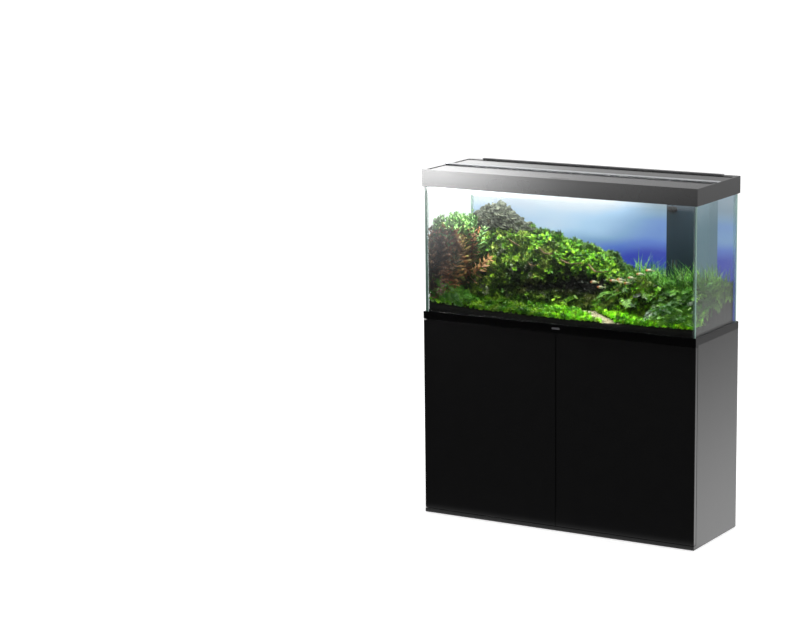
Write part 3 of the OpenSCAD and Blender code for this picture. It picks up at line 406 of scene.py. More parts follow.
paints["clearSilicone"] = siliconeFinish()


def plainFinish(name, stops, scale, rough, bump=0.2, distance=0.002, glow=0.0, kind="TexNoise", spec=0.4):
    paint = bpy.data.materials.new(name)
    t = Tree(paint)
    coords = t.add("TexCoord")
    grain = t.add(kind, Vector=coords.outputs["Object"], Scale=float(scale))
    value = grain.outputs["Fac" if kind == "TexNoise" else "Distance"]
    colour = t.ramp(value, stops)
    lift = t.add("Bump", Strength=bump, Distance=distance, Height=value)
    shell = t.add("BsdfPrincipled", Base_Color=colour, Roughness=rough, Normal=lift)
    shell.inputs["Specular IOR Level"].default_value = spec
    if glow:
        t.put(shell, "Emission Color", colour)
        shell.inputs["Emission Strength"].default_value = glow
    t.out(shell.outputs[0])
    return paint


paints["beech"] = plainFinish("beech", [(0.3, (0.50, 0.33, 0.18)), (0.7, (0.66, 0.47, 0.28))], 180, 0.6)
paints["foam"] = plainFinish("foam", [(0.1, (0.01, 0.03, 0.07)), (0.6, (0.04, 0.10, 0.19))], 420, 0.9,
                             bump=0.6, distance=0.002, kind="TexVoronoi")
paints["diffuser"] = plainFinish("diffuser", [(0.3, (0.86, 0.88, 0.9)), (0.7, (0.95, 0.97, 1.0))], 60, 0.5,
                                 bump=0.02, distance=0.001, glow=6.0)


film = {"stops": [(0.0, srgb(240, 244, 251)), (0.2, srgb(212, 226, 243)), (0.35, srgb(171, 206, 239)),
                  (0.56, srgb(126, 163, 205)), (0.75, srgb(88, 120, 200)), (1.0, srgb(52, 66, 172))],
        "glow": 0.95, "paper": 0.08, "clouds": 3.0, "corner": srgb(104, 122, 134)}


def filmFinish():
    low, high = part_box("background_film")
    paint = bpy.data.materials.new("film")
    t = Tree(paint)
    coords = t.add("TexCoord").outputs["Object"]
    part = t.add("SeparateXYZ", Vector=coords)
    stretched = t.add("Mapping", Vector=coords, Scale=(1.0, 1.0, 2.6), Rotation=(0, 0.25, 0))
    clouds = t.add("TexNoise", Vector=stretched, Scale=film["clouds"], Detail=3.0, Roughness=0.45)
    ease = {"interpolation_type": "SMOOTHSTEP"}
    under = t.add("MapRange", ease, i0=part.outputs["Z"], i1=1.21, i2=1.31, i3=0.33, i4=0.0)
    across = t.add("MapRange", ease, i0=part.outputs["X"], i1=-0.05, i2=0.28, i3=0.0, i4=0.28)
    deep = t.add("MapRange", ease, i0=part.outputs["Z"], i1=1.05, i2=1.17, i3=0.5, i4=0.0)
    drift = t.math("MULTIPLY", t.math("SUBTRACT", clouds.outputs["Fac"], 0.5), 0.30)
    level = t.math("ADD", t.math("ADD", t.math("ADD", under, across), deep), drift)
    # painted shade: the upper right of the film turns grey-blue as if in the shadow of the hood
    right = t.add("MapRange", ease, i0=part.outputs["X"], i1=0.09, i2=0.27)
    upper = t.add("MapRange", ease, i0=part.outputs["Z"], i1=1.21, i2=1.29)
    corner = t.math("MULTIPLY", t.math("MULTIPLY", right, upper), 0.8)
    colour = t.mix(corner, t.ramp(level, film["stops"]).outputs[0], film["corner"])
    # painted light: the film glows with its own colour, and its paper colour is dimmed to leave room for the
    # glow
    dim = t.add("VectorMath", {"operation": "SCALE"}, i0=colour)
    dim.inputs["Scale"].default_value = film["paper"]
    shell = t.add("BsdfPrincipled", Base_Color=dim.outputs[0], Roughness=0.5)
    t.put(shell, "Emission Color", colour)
    shell.inputs["Emission Strength"].default_value = film["glow"]
    dark = t.ramp(clouds.outputs["Fac"], [(0.3, (0.05, 0.06, 0.09)), (0.7, (0.07, 0.085, 0.12))])
    back = t.add("BsdfPrincipled", Roughness=0.5, Base_Color=dark)
    behind = t.math("GREATER_THAN", part.outputs["Y"], (low.y + high.y) / 2)
    t.out(t.add("MixShader", Fac=behind, i1=shell, i2=back).outputs[0])
    return paint


paints["film"] = filmFinish()

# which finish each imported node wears
wearing = {
    "laminate": ("bottom_plate", "centre_divider", "shelf_left", "shelf_right", "side_panel_left",
                 "side_panel_right", "top_panel"),
    "doorLaminate": ("door_left", "door_right"),
    "backBoard": ("back_panel_left", "back_panel_right"),
    "steel": ("cam_bolts", "cam_discs", "hinge_arms_left", "hinge_arms_right", "hinge_cups_left",
              "hinge_cups_right", "lid_hinge_pins", "shelf_pins"),
    "screwSteel": ("hinge_pins_left", "hinge_pins_right", "hinge_screws"),
    "beech": ("dowels",),
    "blackPlastic": ("cable_grommets", "filter_pump", "glides", "latch_housings", "light_ends"),
    "nozzlePlastic": ("outlet_nozzle",),
    "whitePlastic": ("latch_plunger_left", "latch_plunger_right"),
    "softRubber": ("door_bumpers",),
    "basePlastic": ("base_frame",),
    "badgeMetal": ("badge",),
    "frontGlass": ("front_pane", "rear_pane"),
    "endGlass": ("end_panes",),
    "flatGlass": ("bottom_pane", "glass_braces"),
    "tubeGlass": ("heater",),
    "blackRubber": ("cable_glands",),
    "clearSilicone": ("silicone_seams",),
    "film": ("background_film",),
    "filterPlastic": ("filter_body", "filter_lid"),
    "foam": ("filter_cartridges",),
    "hoodPlastic": ("front_lid", "hood_frame", "rear_lid"),
    "stripPlastic": ("rear_strip",),
    "satinMetal": ("crossbar",),
    "anodised": ("light_profiles",),
    "diffuser": ("light_diffusers",),
}
for finishName, names in wearing.items():
    for name in names:
        mesh = cadNodes[name].data
        mesh.materials.clear()
        mesh.materials.append(paints[finishName])
print("finishes on the packed nodes")


# ground and planting: where the soil lies, in metres
ground = {
    "reachX": 0.588, "reachY": 0.182, "footY": -0.112, "crestY": 0.045,
    "atGlass": [(-0.59, 0.880), (-0.35, 0.866), (0.0, 0.862), (0.3, 0.866), (0.59, 0.872)],
    "atFoot": [(-0.59, 0.905), (-0.2, 0.903), (0.1, 0.905), (0.35, 0.888), (0.59, 0.880)],
    "crest": [(-0.59, 1.08), (-0.50, 1.11), (-0.42, 1.130), (-0.22, 1.134), (-0.13, 1.112), (0.0, 1.084),
              (0.078, 1.062), (0.15, 1.010), (0.21, 0.955), (0.27, 0.935), (0.36, 0.935), (0.48, 0.958),
              (0.59, 0.965)],
    "foot": [(-0.59, -0.172), (-0.50, -0.145), (-0.38, -0.112), (0.59, -0.112)],
    "ridge": [(-0.59, -0.055), (-0.45, 0.0), (-0.3, 0.045), (0.59, 0.045)],
    "hollows": [(0.03, -0.055, 0.15, 0.055, 0.085), (0.37, -0.115, 0.07, 0.03, 0.012),
                (-0.22, -0.085, 0.10, 0.03, 0.03)],
    "mound": (0.305, -0.055, 0.105, 0.036, 0.085),
    "path": [(0.03, -0.098), (0.10, -0.125), (0.17, -0.150), (0.235, -0.182)],
    "pathWidth": 0.050,
    # shaded hollows seen from the front: x, z, half width, half height, how far back and how dark
    "caves": [(0.03, 0.972, 0.17, 0.048, 0.03, 1.0), (0.40, 0.945, 0.14, 0.020, 0.0, 0.85),
              (-0.22, 0.955, 0.13, 0.030, 0.0, 0.8)],
}


def along(name, x):
    keys = ground[name]
    return np.interp(x, [k[0] for k in keys], [k[1] for k in keys])


# smooth noise, about -1 to 1, from a few crossed waves
def swell(spots, size, seed):
    rng = np.random.default_rng(seed)
    total = np.zeros(len(spots))
    for _ in range(10):
        way = rng.normal(size=spots.shape[1])
        way *= 2 * math.pi / size * rng.uniform(0.6, 1.7) / np.linalg.norm(way)
        total += np.sin(spots @ way + rng.uniform(0, 2 * math.pi))
    return total / 3.2


def pathShare(x, y):
    keys = ground["path"]
    middle = np.interp(y, [k[1] for k in reversed(keys)], [k[0] for k in reversed(keys)])
    wide = ground["pathWidth"] * (1 + 0.25 * swell(np.stack([x, y], 1), 0.05, 4))
    share = 1 - np.abs(x - middle) / np.maximum(wide, 0.006)
    return np.clip(share * 2.2, 0, 1) * (y < -0.088)


def soilHeight(x, y):
    footY, crestY, reachY = along("foot", x), along("ridge", x), ground["reachY"]
    glass, foot, crest = along("atGlass", x), along("atFoot", x), along("crest", x)
    low = glass + (foot - glass) * np.clip((y + reachY) / (footY + reachY), 0, 1)
    rise = 1 - (1 - np.clip((y - footY) / (crestY - footY), 0, 1)) ** 1.6
    back = np.clip((y - crestY) / (reachY - crestY), 0, 1)
    z = low + (crest - foot) * rise * (1 - 0.22 * back * back)
    for middleX, middleY, wideX, wideY, deep in ground["hollows"]:
        z = z - deep * np.exp(-(((x - middleX) / wideX) ** 2 + ((y - middleY) / wideY) ** 2) ** 2)
    middleX, middleY, wideX, wideY, high = ground["mound"]
    z = z + high * np.exp(-(((x - middleX) / wideX) ** 2 + ((y - middleY) / wideY) ** 2) ** 1.5)
    spots = np.stack([x, y], 1)
    z = z + rise * (0.013 * swell(spots, 0.08, 11) + 0.008 * swell(spots, 0.036, 12))
    return z + 0.002 * swell(spots, 0.03, 13)


def newPiece(name, mesh, body, replaced, paint):
    piece = bpy.data.objects.new(name, mesh)
    stage.collection.objects.link(piece)
    if paint is not None:
        mesh.materials.clear()
        mesh.materials.append(paint)
    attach(piece, body)
    if replaced:
        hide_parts(*replaced)
    return piece


def soilFinish():
    paint = bpy.data.materials.new("soil")
    t = Tree(paint)
    coords = t.add("TexCoord").outputs["Object"]
    grains = t.add("TexVoronoi", Vector=coords, Scale=420.0)
    dark = t.ramp(grains.outputs["Color"], [(0.2, (0.002, 0.0018, 0.0015)), (0.8, (0.011, 0.009, 0.006))])
    light = t.ramp(grains.outputs["Color"],
                   [(0.1, (0.30, 0.23, 0.13)), (0.5, (0.62, 0.53, 0.36)), (0.9, (0.85, 0.78, 0.60))])
    sandy = t.add("Attribute", {"attribute_name": "sand"}).outputs["Fac"]
    colour = t.mix(sandy, dark.outputs[0], light.outputs[0])
    lift = t.add("Bump", Strength=0.8, Distance=0.002, Height=grains.outputs["Distance"])
    shell = t.add("BsdfPrincipled", Base_Color=colour, Roughness=0.9, Normal=lift)
    t.out(shell.outputs[0])
    return paint


def buildSoil():
    bm = bmesh.new()
    bmesh.ops.create_grid(bm, x_segments=190, y_segments=62, size=1)
    bmesh.ops.scale(bm, vec=(ground["reachX"], ground["reachY"], 1), verts=bm.verts)
    spots = np.array([v.co[:2] for v in bm.verts])
    high = soilHeight(spots[:, 0], spots[:, 1])
    for v, z in zip(bm.verts, high):
        v.co.z = z
    rim = [e for e in bm.edges if e.is_boundary]
    skirt = bmesh.ops.extrude_edge_only(bm, edges=rim)["geom"]
    for v in skirt:
        if isinstance(v, bmesh.types.BMVert):
            v.co.z = 0.8375
    bmesh.ops.holes_fill(bm, edges=[e for e in bm.edges if e.is_boundary], sides=0)
    bmesh.ops.recalc_face_normals(bm, faces=bm.faces)
    mesh = bpy.data.meshes.new("soil")
    bm.to_mesh(mesh)
    bm.free()
    spots = np.array([v.co for v in mesh.vertices])
    inside = (spots[:, 2] > 0.85) & (spots[:, 1] > -ground["reachY"] + 0.003)
    sandy = pathShare(spots[:, 0], spots[:, 1]) * inside
    mesh.attributes.new("sand", "FLOAT", "POINT").data.foreach_set("value", sandy.astype(np.float32))
    mesh.shade_smooth()
    newPiece("soil_bed", mesh, tankBody, ["gravel_bed"], soilFinish())


# one leaf is a small folded diamond: (height, turn, tilt, length, width, fold)
def leafShape(bm, high, turn, tilt, length, width, fold=0.25, out=0.0):
    verts = bmesh.ops.create_grid(bm, x_segments=1, y_segments=1, size=0.5)["verts"]
    bmesh.ops.rotate(bm, verts=verts, cent=(0, 0, 0), matrix=Matrix.Rotation(math.pi / 4, 3, "Z"))
    bmesh.ops.scale(bm, vec=(length / 1.414, width / 1.414, 1), verts=verts)
    for v in verts:
        v.co.z += fold * abs(v.co.y)
    bmesh.ops.translate(bm, vec=(length / 2 + out, 0, 0), verts=verts)
    swing = Matrix.Translation((0, 0, high)) @ Matrix.Rotation(turn, 4, "Z") @ Matrix.Rotation(-tilt, 4, "Y")
    bmesh.ops.transform(bm, matrix=swing, verts=verts)


def shapeOf(bm):
    bm.verts.ensure_lookup_table()
    points = np.array([v.co for v in bm.verts])
    corners = np.array([v.index for f in bm.faces for v in f.verts])
    counts = np.array([len(f.verts) for f in bm.faces])
    bm.free()
    return points, corners, counts


def rosette(leaves, tiers, length, width, tilt, rise, seed):
    rng = np.random.default_rng(seed)
    bm = bmesh.new()
    for tier in range(tiers):
        for n in range(leaves):
            leafShape(bm, rise * tier / max(tiers, 1),
                      2 * math.pi * (n + 0.5 * tier) / leaves + rng.uniform(-0.4, 0.4),
                      tilt + rng.uniform(-0.3, 0.3) + 0.25 * tier, length * rng.uniform(0.7, 1.15),
                      width * rng.uniform(0.8, 1.15))
    return shapeOf(bm)


# a leafy upright stem one unit tall
def leafyStem(whorls, leaves, length, width, seed, tilt=0.35):
    rng = np.random.default_rng(seed)
    bm = bmesh.new()
    for turn in (0, math.pi / 2):
        verts = bmesh.ops.create_grid(bm, x_segments=1, y_segments=1, size=0.5)["verts"]
        bmesh.ops.scale(bm, vec=(1, 0.02, 1), verts=verts)
        bmesh.ops.translate(bm, vec=(0.5, 0, 0), verts=verts)
        upright = Matrix.Rotation(turn, 4, "Z") @ Matrix.Rotation(-math.pi / 2, 4, "Y")
        bmesh.ops.transform(bm, matrix=upright, verts=verts)
    for level in range(whorls):
        share = (level + 1) / whorls
        size = length * (0.55 + 0.55 * math.sin(math.pi * min(share, 0.9)))
        for n in range(leaves):
            leafShape(bm, share, 2 * math.pi * (n / leaves + 0.37 * level) + rng.uniform(-0.2, 0.2),
                      tilt + 0.5 * share + rng.uniform(-0.2, 0.2), size, width * size / length)
    return shapeOf(bm)


# an arching frond one unit long, leaflets in pairs
def frond(pairs, leaflet, width, arch, seed):
    rng = np.random.default_rng(seed)
    bm = bmesh.new()
    verts = bmesh.ops.create_grid(bm, x_segments=6, y_segments=1, size=0.5)["verts"]
    bmesh.ops.scale(bm, vec=(1, 0.025, 1), verts=verts)
    bmesh.ops.translate(bm, vec=(0.5, 0, 0), verts=verts)
    for n in range(pairs):
        share = (n + 0.8) / pairs
        size = leaflet * (0.35 + 0.75 * math.sin(math.pi * (0.12 + 0.83 * share)))
        for side in (-1, 1):
            before = set(bm.verts)
            leafShape(bm, 0, side * (1.05 - 0.35 * share) + rng.uniform(-0.1, 0.1), rng.uniform(0, 0.25),
                      size, width)
            new = [v for v in bm.verts if v not in before]
            bmesh.ops.translate(bm, vec=(share * 0.97, 0, 0), verts=new)
    for v in bm.verts:
        v.co.z += arch * (1.5 * v.co.x - 1.25 * v.co.x ** 2)
        v.co.x *= 1 - 0.18 * v.co.x * arch
    return shapeOf(bm)


def blade(width, bend):
    bm = bmesh.new()
    verts = bmesh.ops.create_grid(bm, x_segments=6, y_segments=1, size=0.5)["verts"]
    bmesh.ops.translate(bm, vec=(0.5, 0, 0), verts=verts)
    for v in verts:
        v.co.y *= width * (1 - 0.85 * v.co.x ** 1.5)
    for v in verts:
        up = v.co.x
        v.co = (bend * up * up, v.co.y, up * (1 - 0.3 * bend * up))
    return shapeOf(bm)


# turns each copy so that its own Z follows a direction, with a free spin
def aimed(ways, spins):
    z = ways / np.linalg.norm(ways, axis=1, keepdims=True)
    helper = np.where(np.abs(z[:, :1]) > 0.9, (0.0, 1.0, 0.0), (1.0, 0.0, 0.0))
    x = np.cross(helper, z)
    x /= np.linalg.norm(x, axis=1, keepdims=True)
    y = np.cross(z, x)
    c, w = np.cos(spins)[:, None], np.sin(spins)[:, None]
    return np.stack([x * c + y * w, y * c - x * w, z], 2)


# many turned and scaled copies of a few shapes, as one mesh with a tone and a shade for every copy
def tiled(name, shapes, spots, turns, scales, tone, shade):
    pick = np.arange(len(spots)) % len(shapes)
    points, corners, starts, tones, shades = [], [], [], [], []
    pointBase = loopBase = 0
    for n, (own, ownCorners, ownCounts) in enumerate(shapes):
        rows = np.nonzero(pick == n)[0]
        placed = np.einsum("nij,vj->nvi", turns[rows], own) * scales[rows, None, None] + spots[rows, None, :]
        points.append(placed.reshape(-1, 3))
        base = pointBase + np.arange(len(rows))[:, None] * len(own)
        corners.append((ownCorners[None, :] + base).ravel())
        ownStarts = np.concatenate([[0], np.cumsum(ownCounts)[:-1]])
        loops = loopBase + np.arange(len(rows))[:, None] * len(ownCorners)
        starts.append((loops + ownStarts[None, :]).ravel())
        tones.append(np.repeat(tone[rows], len(own)))
        shades.append(np.repeat(shade[rows], len(own)))
        pointBase += len(rows) * len(own)
        loopBase += len(rows) * len(ownCorners)
    points = np.concatenate(points)
    limitX, limitY = ground["reachX"] + 0.0012, ground["reachY"] + 0.0012
    points[:, 0] = np.clip(points[:, 0], -limitX, limitX)
    points[:, 1] = np.clip(points[:, 1], -limitY, limitY)
    points[:, 2] = np.maximum(points[:, 2], along("atGlass", points[:, 0]) + 0.002)
    mesh = bpy.data.meshes.new(name)
    mesh.vertices.add(len(points))
    mesh.vertices.foreach_set("co", points.astype(np.float32).ravel())
    corners, starts = np.concatenate(corners), np.concatenate(starts)
    mesh.loops.add(len(corners))
    mesh.loops.foreach_set("vertex_index", corners.astype(np.int32))
    mesh.polygons.add(len(starts))
    mesh.polygons.foreach_set("loop_start", starts.astype(np.int32))
    mesh.update(calc_edges=True)
    for key, value in (("tone", np.concatenate(tones)), ("shade", np.concatenate(shades))):
        mesh.attributes.new(key, "FLOAT", "POINT").data.foreach_set("value", value.astype(np.float32))
    return mesh


def leafFinish(name, stops, rough=0.42, glow=0.0):
    paint = bpy.data.materials.new(name)
    t = Tree(paint)
    tone = t.add("Attribute", {"attribute_name": "tone"}).outputs["Fac"]
    shade = t.add("Attribute", {"attribute_name": "shade"}).outputs["Fac"]
    coords = t.add("TexCoord").outputs["Object"]
    mottle = t.add("TexNoise", Vector=coords, Scale=260.0, Detail=2.0)
    spread = t.math("ADD", tone, t.math("MULTIPLY", t.math("SUBTRACT", mottle.outputs["Fac"], 0.5), 0.35))
    colour = t.ramp(spread, stops)
    # the shade attribute darkens the colour: painted shade
    dimmed = t.add("VectorMath", {"operation": "SCALE"}, i0=colour.outputs[0])
    t.put(dimmed, "Scale", shade)
    vein = t.add("Bump", Strength=0.15, Distance=0.0004, Height=mottle.outputs["Fac"])
    shell = t.add("BsdfPrincipled", Base_Color=dimmed.outputs[0], Roughness=rough, Normal=vein)
    shell.inputs["Specular IOR Level"].default_value = 0.35
    if glow:
        t.put(shell, "Emission Color", dimmed.outputs[0])
        shell.inputs["Emission Strength"].default_value = glow
    t.out(shell.outputs[0])
    return paint


leafColours = {
    "carpet": [(0.0, (0.04, 0.20, 0.004)), (0.5, (0.17, 0.58, 0.010)), (1.0, (0.48, 0.86, 0.04))],
    "moss": [(0.0, (0.02, 0.055, 0.004)), (0.45, (0.09, 0.19, 0.014)), (0.8, (0.24, 0.37, 0.04)),
             (1.0, (0.5, 0.57, 0.14))],
    "bright": [(0.0, (0.03, 0.15, 0.004)), (0.5, (0.16, 0.46, 0.008)), (1.0, (0.42, 0.74, 0.03))],
    "redStem": [(0.0, (0.16, 0.26, 0.05)), (0.45, (0.44, 0.24, 0.09)), (1.0, (0.80, 0.32, 0.14))],
    "lightBush": [(0.0, (0.10, 0.30, 0.05)), (1.0, (0.42, 0.70, 0.22))],
    "back": [(0.0, (0.03, 0.10, 0.01)), (1.0, (0.20, 0.40, 0.05))],
    "fern": [(0.0, (0.02, 0.09, 0.01)), (0.5, (0.07, 0.26, 0.02)), (1.0, (0.24, 0.52, 0.06))],
    "pale": [(0.0, (0.20, 0.24, 0.12)), (1.0, (0.62, 0.66, 0.46))],
}
# carpet and fern leaves glow a little with their own colour: painted light
leafGlow = {"carpet": 0.30, "fern": 0.12}
for key, stops in leafColours.items():
    paints[key] = leafFinish(key + "Leaf", stops, glow=leafGlow.get(key, 0.0))


def slopes(x, y):
    step = 0.004
    acrossX = (soilHeight(x + step, y) - soilHeight(x - step, y)) / (2 * step)
    acrossY = (soilHeight(x, y + step) - soilHeight(x, y - step)) / (2 * step)
    normals = np.stack([-acrossX, -acrossY, np.ones(len(x))], 1)
    return normals, np.linalg.norm(normals, axis=1)


filterLow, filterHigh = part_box("filter_body")


# random spots on the soil, spread by its true area
def sow(count, seed, areaX, areaY, steepest=4.0):
    rng = np.random.default_rng(seed)
    x = rng.uniform(*areaX, count * 6)
    y = rng.uniform(*areaY, count * 6)
    normals, steep = slopes(x, y)
    keep = rng.uniform(0, steepest, len(x)) < steep
    nearBox = (x > filterLow.x - 0.012) & (x < filterHigh.x + 0.012) & (y > filterLow.y - 0.012)
    keep &= ~nearBox
    x, y, normals = x[keep][:count], y[keep][:count], (normals / steep[:, None])[keep][:count]
    return np.stack([x, y, soilHeight(x, y)], 1), normals, np.random.default_rng(seed + 1)


# painted shade in the caves: a factor below one where the leaf colour is darkened
def darkness(spots):
    x, y, z = spots.T
    dark = 0.0
    for middleX, middleZ, wide, high, back, deep in ground["caves"]:
        cave = np.exp(-((((x - middleX) / wide) ** 2 + ((z - middleZ) / high) ** 2) ** 1.5)) * (y < back)
        dark = dark + deep * cave
    return 1 - np.clip(dark, 0, 0.97)


# leaves or stems grown over part of the soil; lift is how far above it, lit dims or brightens along the tank
# as painted light and shade
def grow(name, shapes, count, seed, areaX, areaY, keep, size, upright, lift, toneRange, replaced,
         paint, shadeRange=(0.45, 1.0), toneSize=0.05, lit=None):
    spots, normals, rng = sow(count, seed, areaX, areaY)
    thinned = rng.uniform(0, 1, len(spots)) < 0.02 + darkness(spots) * 1.2
    chosen = keep(spots[:, 0], spots[:, 1]) & thinned
    spots, normals = spots[chosen], normals[chosen]
    number = len(spots)
    ways = normals * (1 - upright) + np.array([0, 0, 1.0]) * upright + rng.normal(0, 0.22, (number, 3))
    spots = spots + normals * rng.uniform(*lift, number)[:, None]
    clump = swell(spots, toneSize, seed + 7)
    tone = np.clip(np.interp(clump + rng.normal(0, 0.45, number), (-1.2, 1.2), toneRange), 0, 1)
    # shade is painted shade: noise for lit clumps and dark gaps, the lit gradient along the tank and the
    # caves
    shade = np.interp(swell(spots, 0.032, seed + 8) + rng.normal(0, 0.35, number), (-1.1, 1.0), shadeRange)
    if lit:
        shade = shade * np.interp(spots[:, 0], [k[0] for k in lit], [k[1] for k in lit])
    scales = size(spots) * rng.uniform(0.72, 1.0, number) if callable(size) else rng.uniform(*size, number)
    mesh = tiled(name, shapes, spots, aimed(ways, rng.uniform(0, 2 * math.pi, number)), scales, tone,
                 shade * darkness(spots))
    newPiece(name, mesh, tankBody, replaced, paint)
    print(name, number, "sprigs,", len(mesh.polygons) * 2, "triangles")


def hillShare(x, y):
    footY = along("foot", x)
    return np.clip((y - footY) / (along("ridge", x) - footY), 0, 2)


def isCrest(x, y):
    edge = np.interp(x, (-0.30, -0.12, 0.05, 0.2), (1.02, 0.72, 0.62, 0.35))
    edge = edge + 0.16 * swell(np.stack([x, y], 1), 0.09, 31)
    return (hillShare(x, y) > edge) & (x > -0.27) & (x < 0.235)


def isStems(x, y):
    edge = -0.41 - 0.55 * (y + 0.184) + 0.02 * swell(np.stack([x, y], 1), 0.08, 33)
    return (x < np.minimum(edge, -0.545 + 1.6 * (y + 0.172))) & (y > -0.175)


def isRight(x, y):
    return x > 0.215 + 0.02 * swell(np.stack([x, y], 1), 0.06, 34)


def isCarpet(x, y):
    edge = along("foot", x) + 0.010 + 0.012 * swell(np.stack([x, y], 1), 0.07, 3)
    return (pathShare(x, y) < 0.25) & ((y < edge) | (isRight(x, y) & (y < -0.06)))


def isMoss(x, y):
    return ~isCrest(x, y) & ~isStems(x, y) & (~isRight(x, y) | (y < -0.005))


def isBush(x, y):
    return isStems(x + 0.012, y)


def isFern(x, y):
    return isRight(x, y) & ((y > -0.02) | (x > 0.42))


def isBare(x, y):
    return ~isCrest(x, y)


def isPale(x, y):
    return swell(np.stack([x, y], 1), 0.11, 55) > 0.55


def anywhere(x, y):
    return np.full(len(x), True)


# stems that end at one height
def reachTo(top):
    return lambda spots: np.clip(top - spots[:, 2], 0.05, 0.26)


def plantTank():
    footY, crestY, reachX, reachY = ground["footY"], ground["crestY"], ground["reachX"], ground["reachY"]
    allX = (-reachX + 0.003, reachX - 0.003)
    small = [rosette(5, 2, 0.0052, 0.0040, 0.35, 0.005, n) for n in range(5)]
    feather = [rosette(6, 3, 0.0085, 0.0022, 0.55, 0.007, 20 + n) for n in range(5)]
    leafy = [rosette(6, 2, 0.0066, 0.0046, 0.4, 0.007, 40 + n) for n in range(5)]

    for half, areaX in (("left", (-reachX, 0.0)), ("right", (0.0, reachX))):
        grow("carpet_plants_" + half, small, 7500, 100 + len(half), areaX, (-reachY, -0.05), isCarpet,
             (0.8, 1.5), 0.75, (0.0, 0.012), (0.05, 1.0), ["front_carpet"], paints["carpet"],
             (0.35, 1.0),
             lit=((-0.55, 0.75), (-0.42, 0.42), (-0.2, 0.36), (-0.05, 0.75), (0.06, 1.25), (0.59, 1.05)))
    for part, areaX in (("left", (-reachX, -0.25)), ("middle", (-0.25, 0.06)), ("right", (0.06, 0.45))):
        grow("hill_moss_" + part, feather, 7600, 200 + len(part), areaX, (footY - 0.006, crestY + 0.03),
             isMoss, (0.75, 1.5), 0.45, (-0.002, 0.014), (0.0, 0.95), ["planted_hill"],
             paints["moss"], (0.25, 1.15), 0.09,
             lit=((-0.59, 1.5), (-0.28, 1.5), (-0.16, 1.0), (-0.05, 0.8), (0.3, 0.9)))
    grow("crest_leaves", leafy, 9500, 301, (-0.28, 0.24), (footY, crestY + 0.05), isCrest, (0.8, 1.4), 0.65,
         (0.0, 0.018), (0.05, 0.95), ["planted_hill"], paints["bright"], (0.55, 1.05), 0.03)
    grow("back_leaves", feather, 6000, 401, allX, (crestY + 0.02, reachY), anywhere, (1.2, 2.4), 0.8,
         (0.0, 0.014), (0.0, 1.0), ["back_plants"], paints["back"], (0.4, 1.0))

    stems = [leafyStem(8, 5, 0.24, 0.095, 60 + n, 0.2) for n in range(4)]
    grow("red_stems", stems, 1150, 501, (-reachX + 0.004, -0.38), (-0.175, 0.10), isStems, reachTo(1.175),
         0.97, (-0.004, 0.0), (0.1, 1.0), ["stem_plants"], paints["redStem"], (0.45, 1.15),
         0.05)
    bush = [leafyStem(9, 5, 0.20, 0.08, 80 + n, 0.4) for n in range(4)]
    grow("light_bush", bush, 480, 521, (-reachX + 0.004, -0.42), (-0.13, 0.15), isBush, reachTo(1.215),
         0.97, (-0.004, 0.0), (0.0, 1.0), ["stem_plants"], paints["lightBush"], (0.6, 1.05))

    fronds = [frond(13, 0.24, 0.055, 0.55, 90 + n) for n in range(4)]
    grow("fern_fronds", fronds, 1500, 601, (0.20, reachX - 0.006), (-0.09, 0.178), isFern, (0.07, 0.145),
         0.88, (0.0, 0.004), (0.0, 1.0), ["fern_bed"], paints["fern"], (0.4, 1.05))
    short = [frond(12, 0.26, 0.06, 0.6, 190 + n) for n in range(4)]
    grow("left_fern", short, 260, 641, (-reachX + 0.004, -0.44), (-0.178, -0.125), anywhere, (0.05, 0.085),
         0.8, (0.0, 0.004), (0.2, 1.0), ["stem_plants"], paints["fern"], (0.6, 1.1))
    grow("right_fern", short, 200, 661, (0.42, reachX - 0.01), (-0.145, -0.09), anywhere, (0.05, 0.09),
         0.75, (0.0, 0.004), (0.35, 1.0), ["fern_bed"], paints["fern"], (0.7, 1.15))
    loose = [rosette(4, 1, 0.015, 0.010, 0.5, 0.004, 230 + n) for n in range(4)]
    grow("stray_leaves", loose, 420, 681, (-0.45, 0.45), (footY - 0.01, 0.03), isBare, (0.55, 1.15),
         0.5, (0.006, 0.026), (0.2, 1.0), ["planted_hill"], paints["bright"], (0.5, 1.1))
    grow("pale_tips", feather, 700, 701, (-0.52, -0.17), (-0.11, 0.0), isPale, (0.9, 1.7), 0.6,
         (0.004, 0.018), (0.2, 1.0), ["planted_hill"], paints["pale"], (0.4, 1.0))
    blades = [blade(0.035, b) for b in (0.15, 0.35, 0.6, 0.9)]
    grow("grass_blades", blades, 1500, 621, (0.20, reachX - 0.012), (-0.01, 0.17), isRight, (0.07, 0.15),
         0.93, (-0.003, 0.0), (0.1, 1.0), ["fern_bed"], paints["fern"], (0.45, 1.1))


# the rock behind the crest: flat breaks as (direction, distance), then slanting layers
rock = {
    "middle": (-0.400, 0.082, 1.146), "half": (0.152, 0.056, 0.112), "layerTilt": 0.62, "layers": 44,
    "depth": 0.0120,
    "breaks": [((-1.0, -0.10, 0.22), 0.96), ((-0.62, -0.2, 0.85), 0.93), ((0.10, -0.25, 1.0), 0.86),
               ((0.62, -0.1, 0.80), 0.74), ((0.95, 0.0, 0.30), 0.97), ((0.1, -1.0, 0.25), 0.86),
               ((-0.5, -0.9, 0.1), 0.90), ((0.55, -0.85, 0.4), 0.80), ((-0.2, 1.0, 0.4), 0.88),
               ((0.5, 0.8, 0.5), 0.86), ((-0.7, 0.6, 0.5), 0.92), ((0.0, 0.0, -1.0), 1.0)],
}


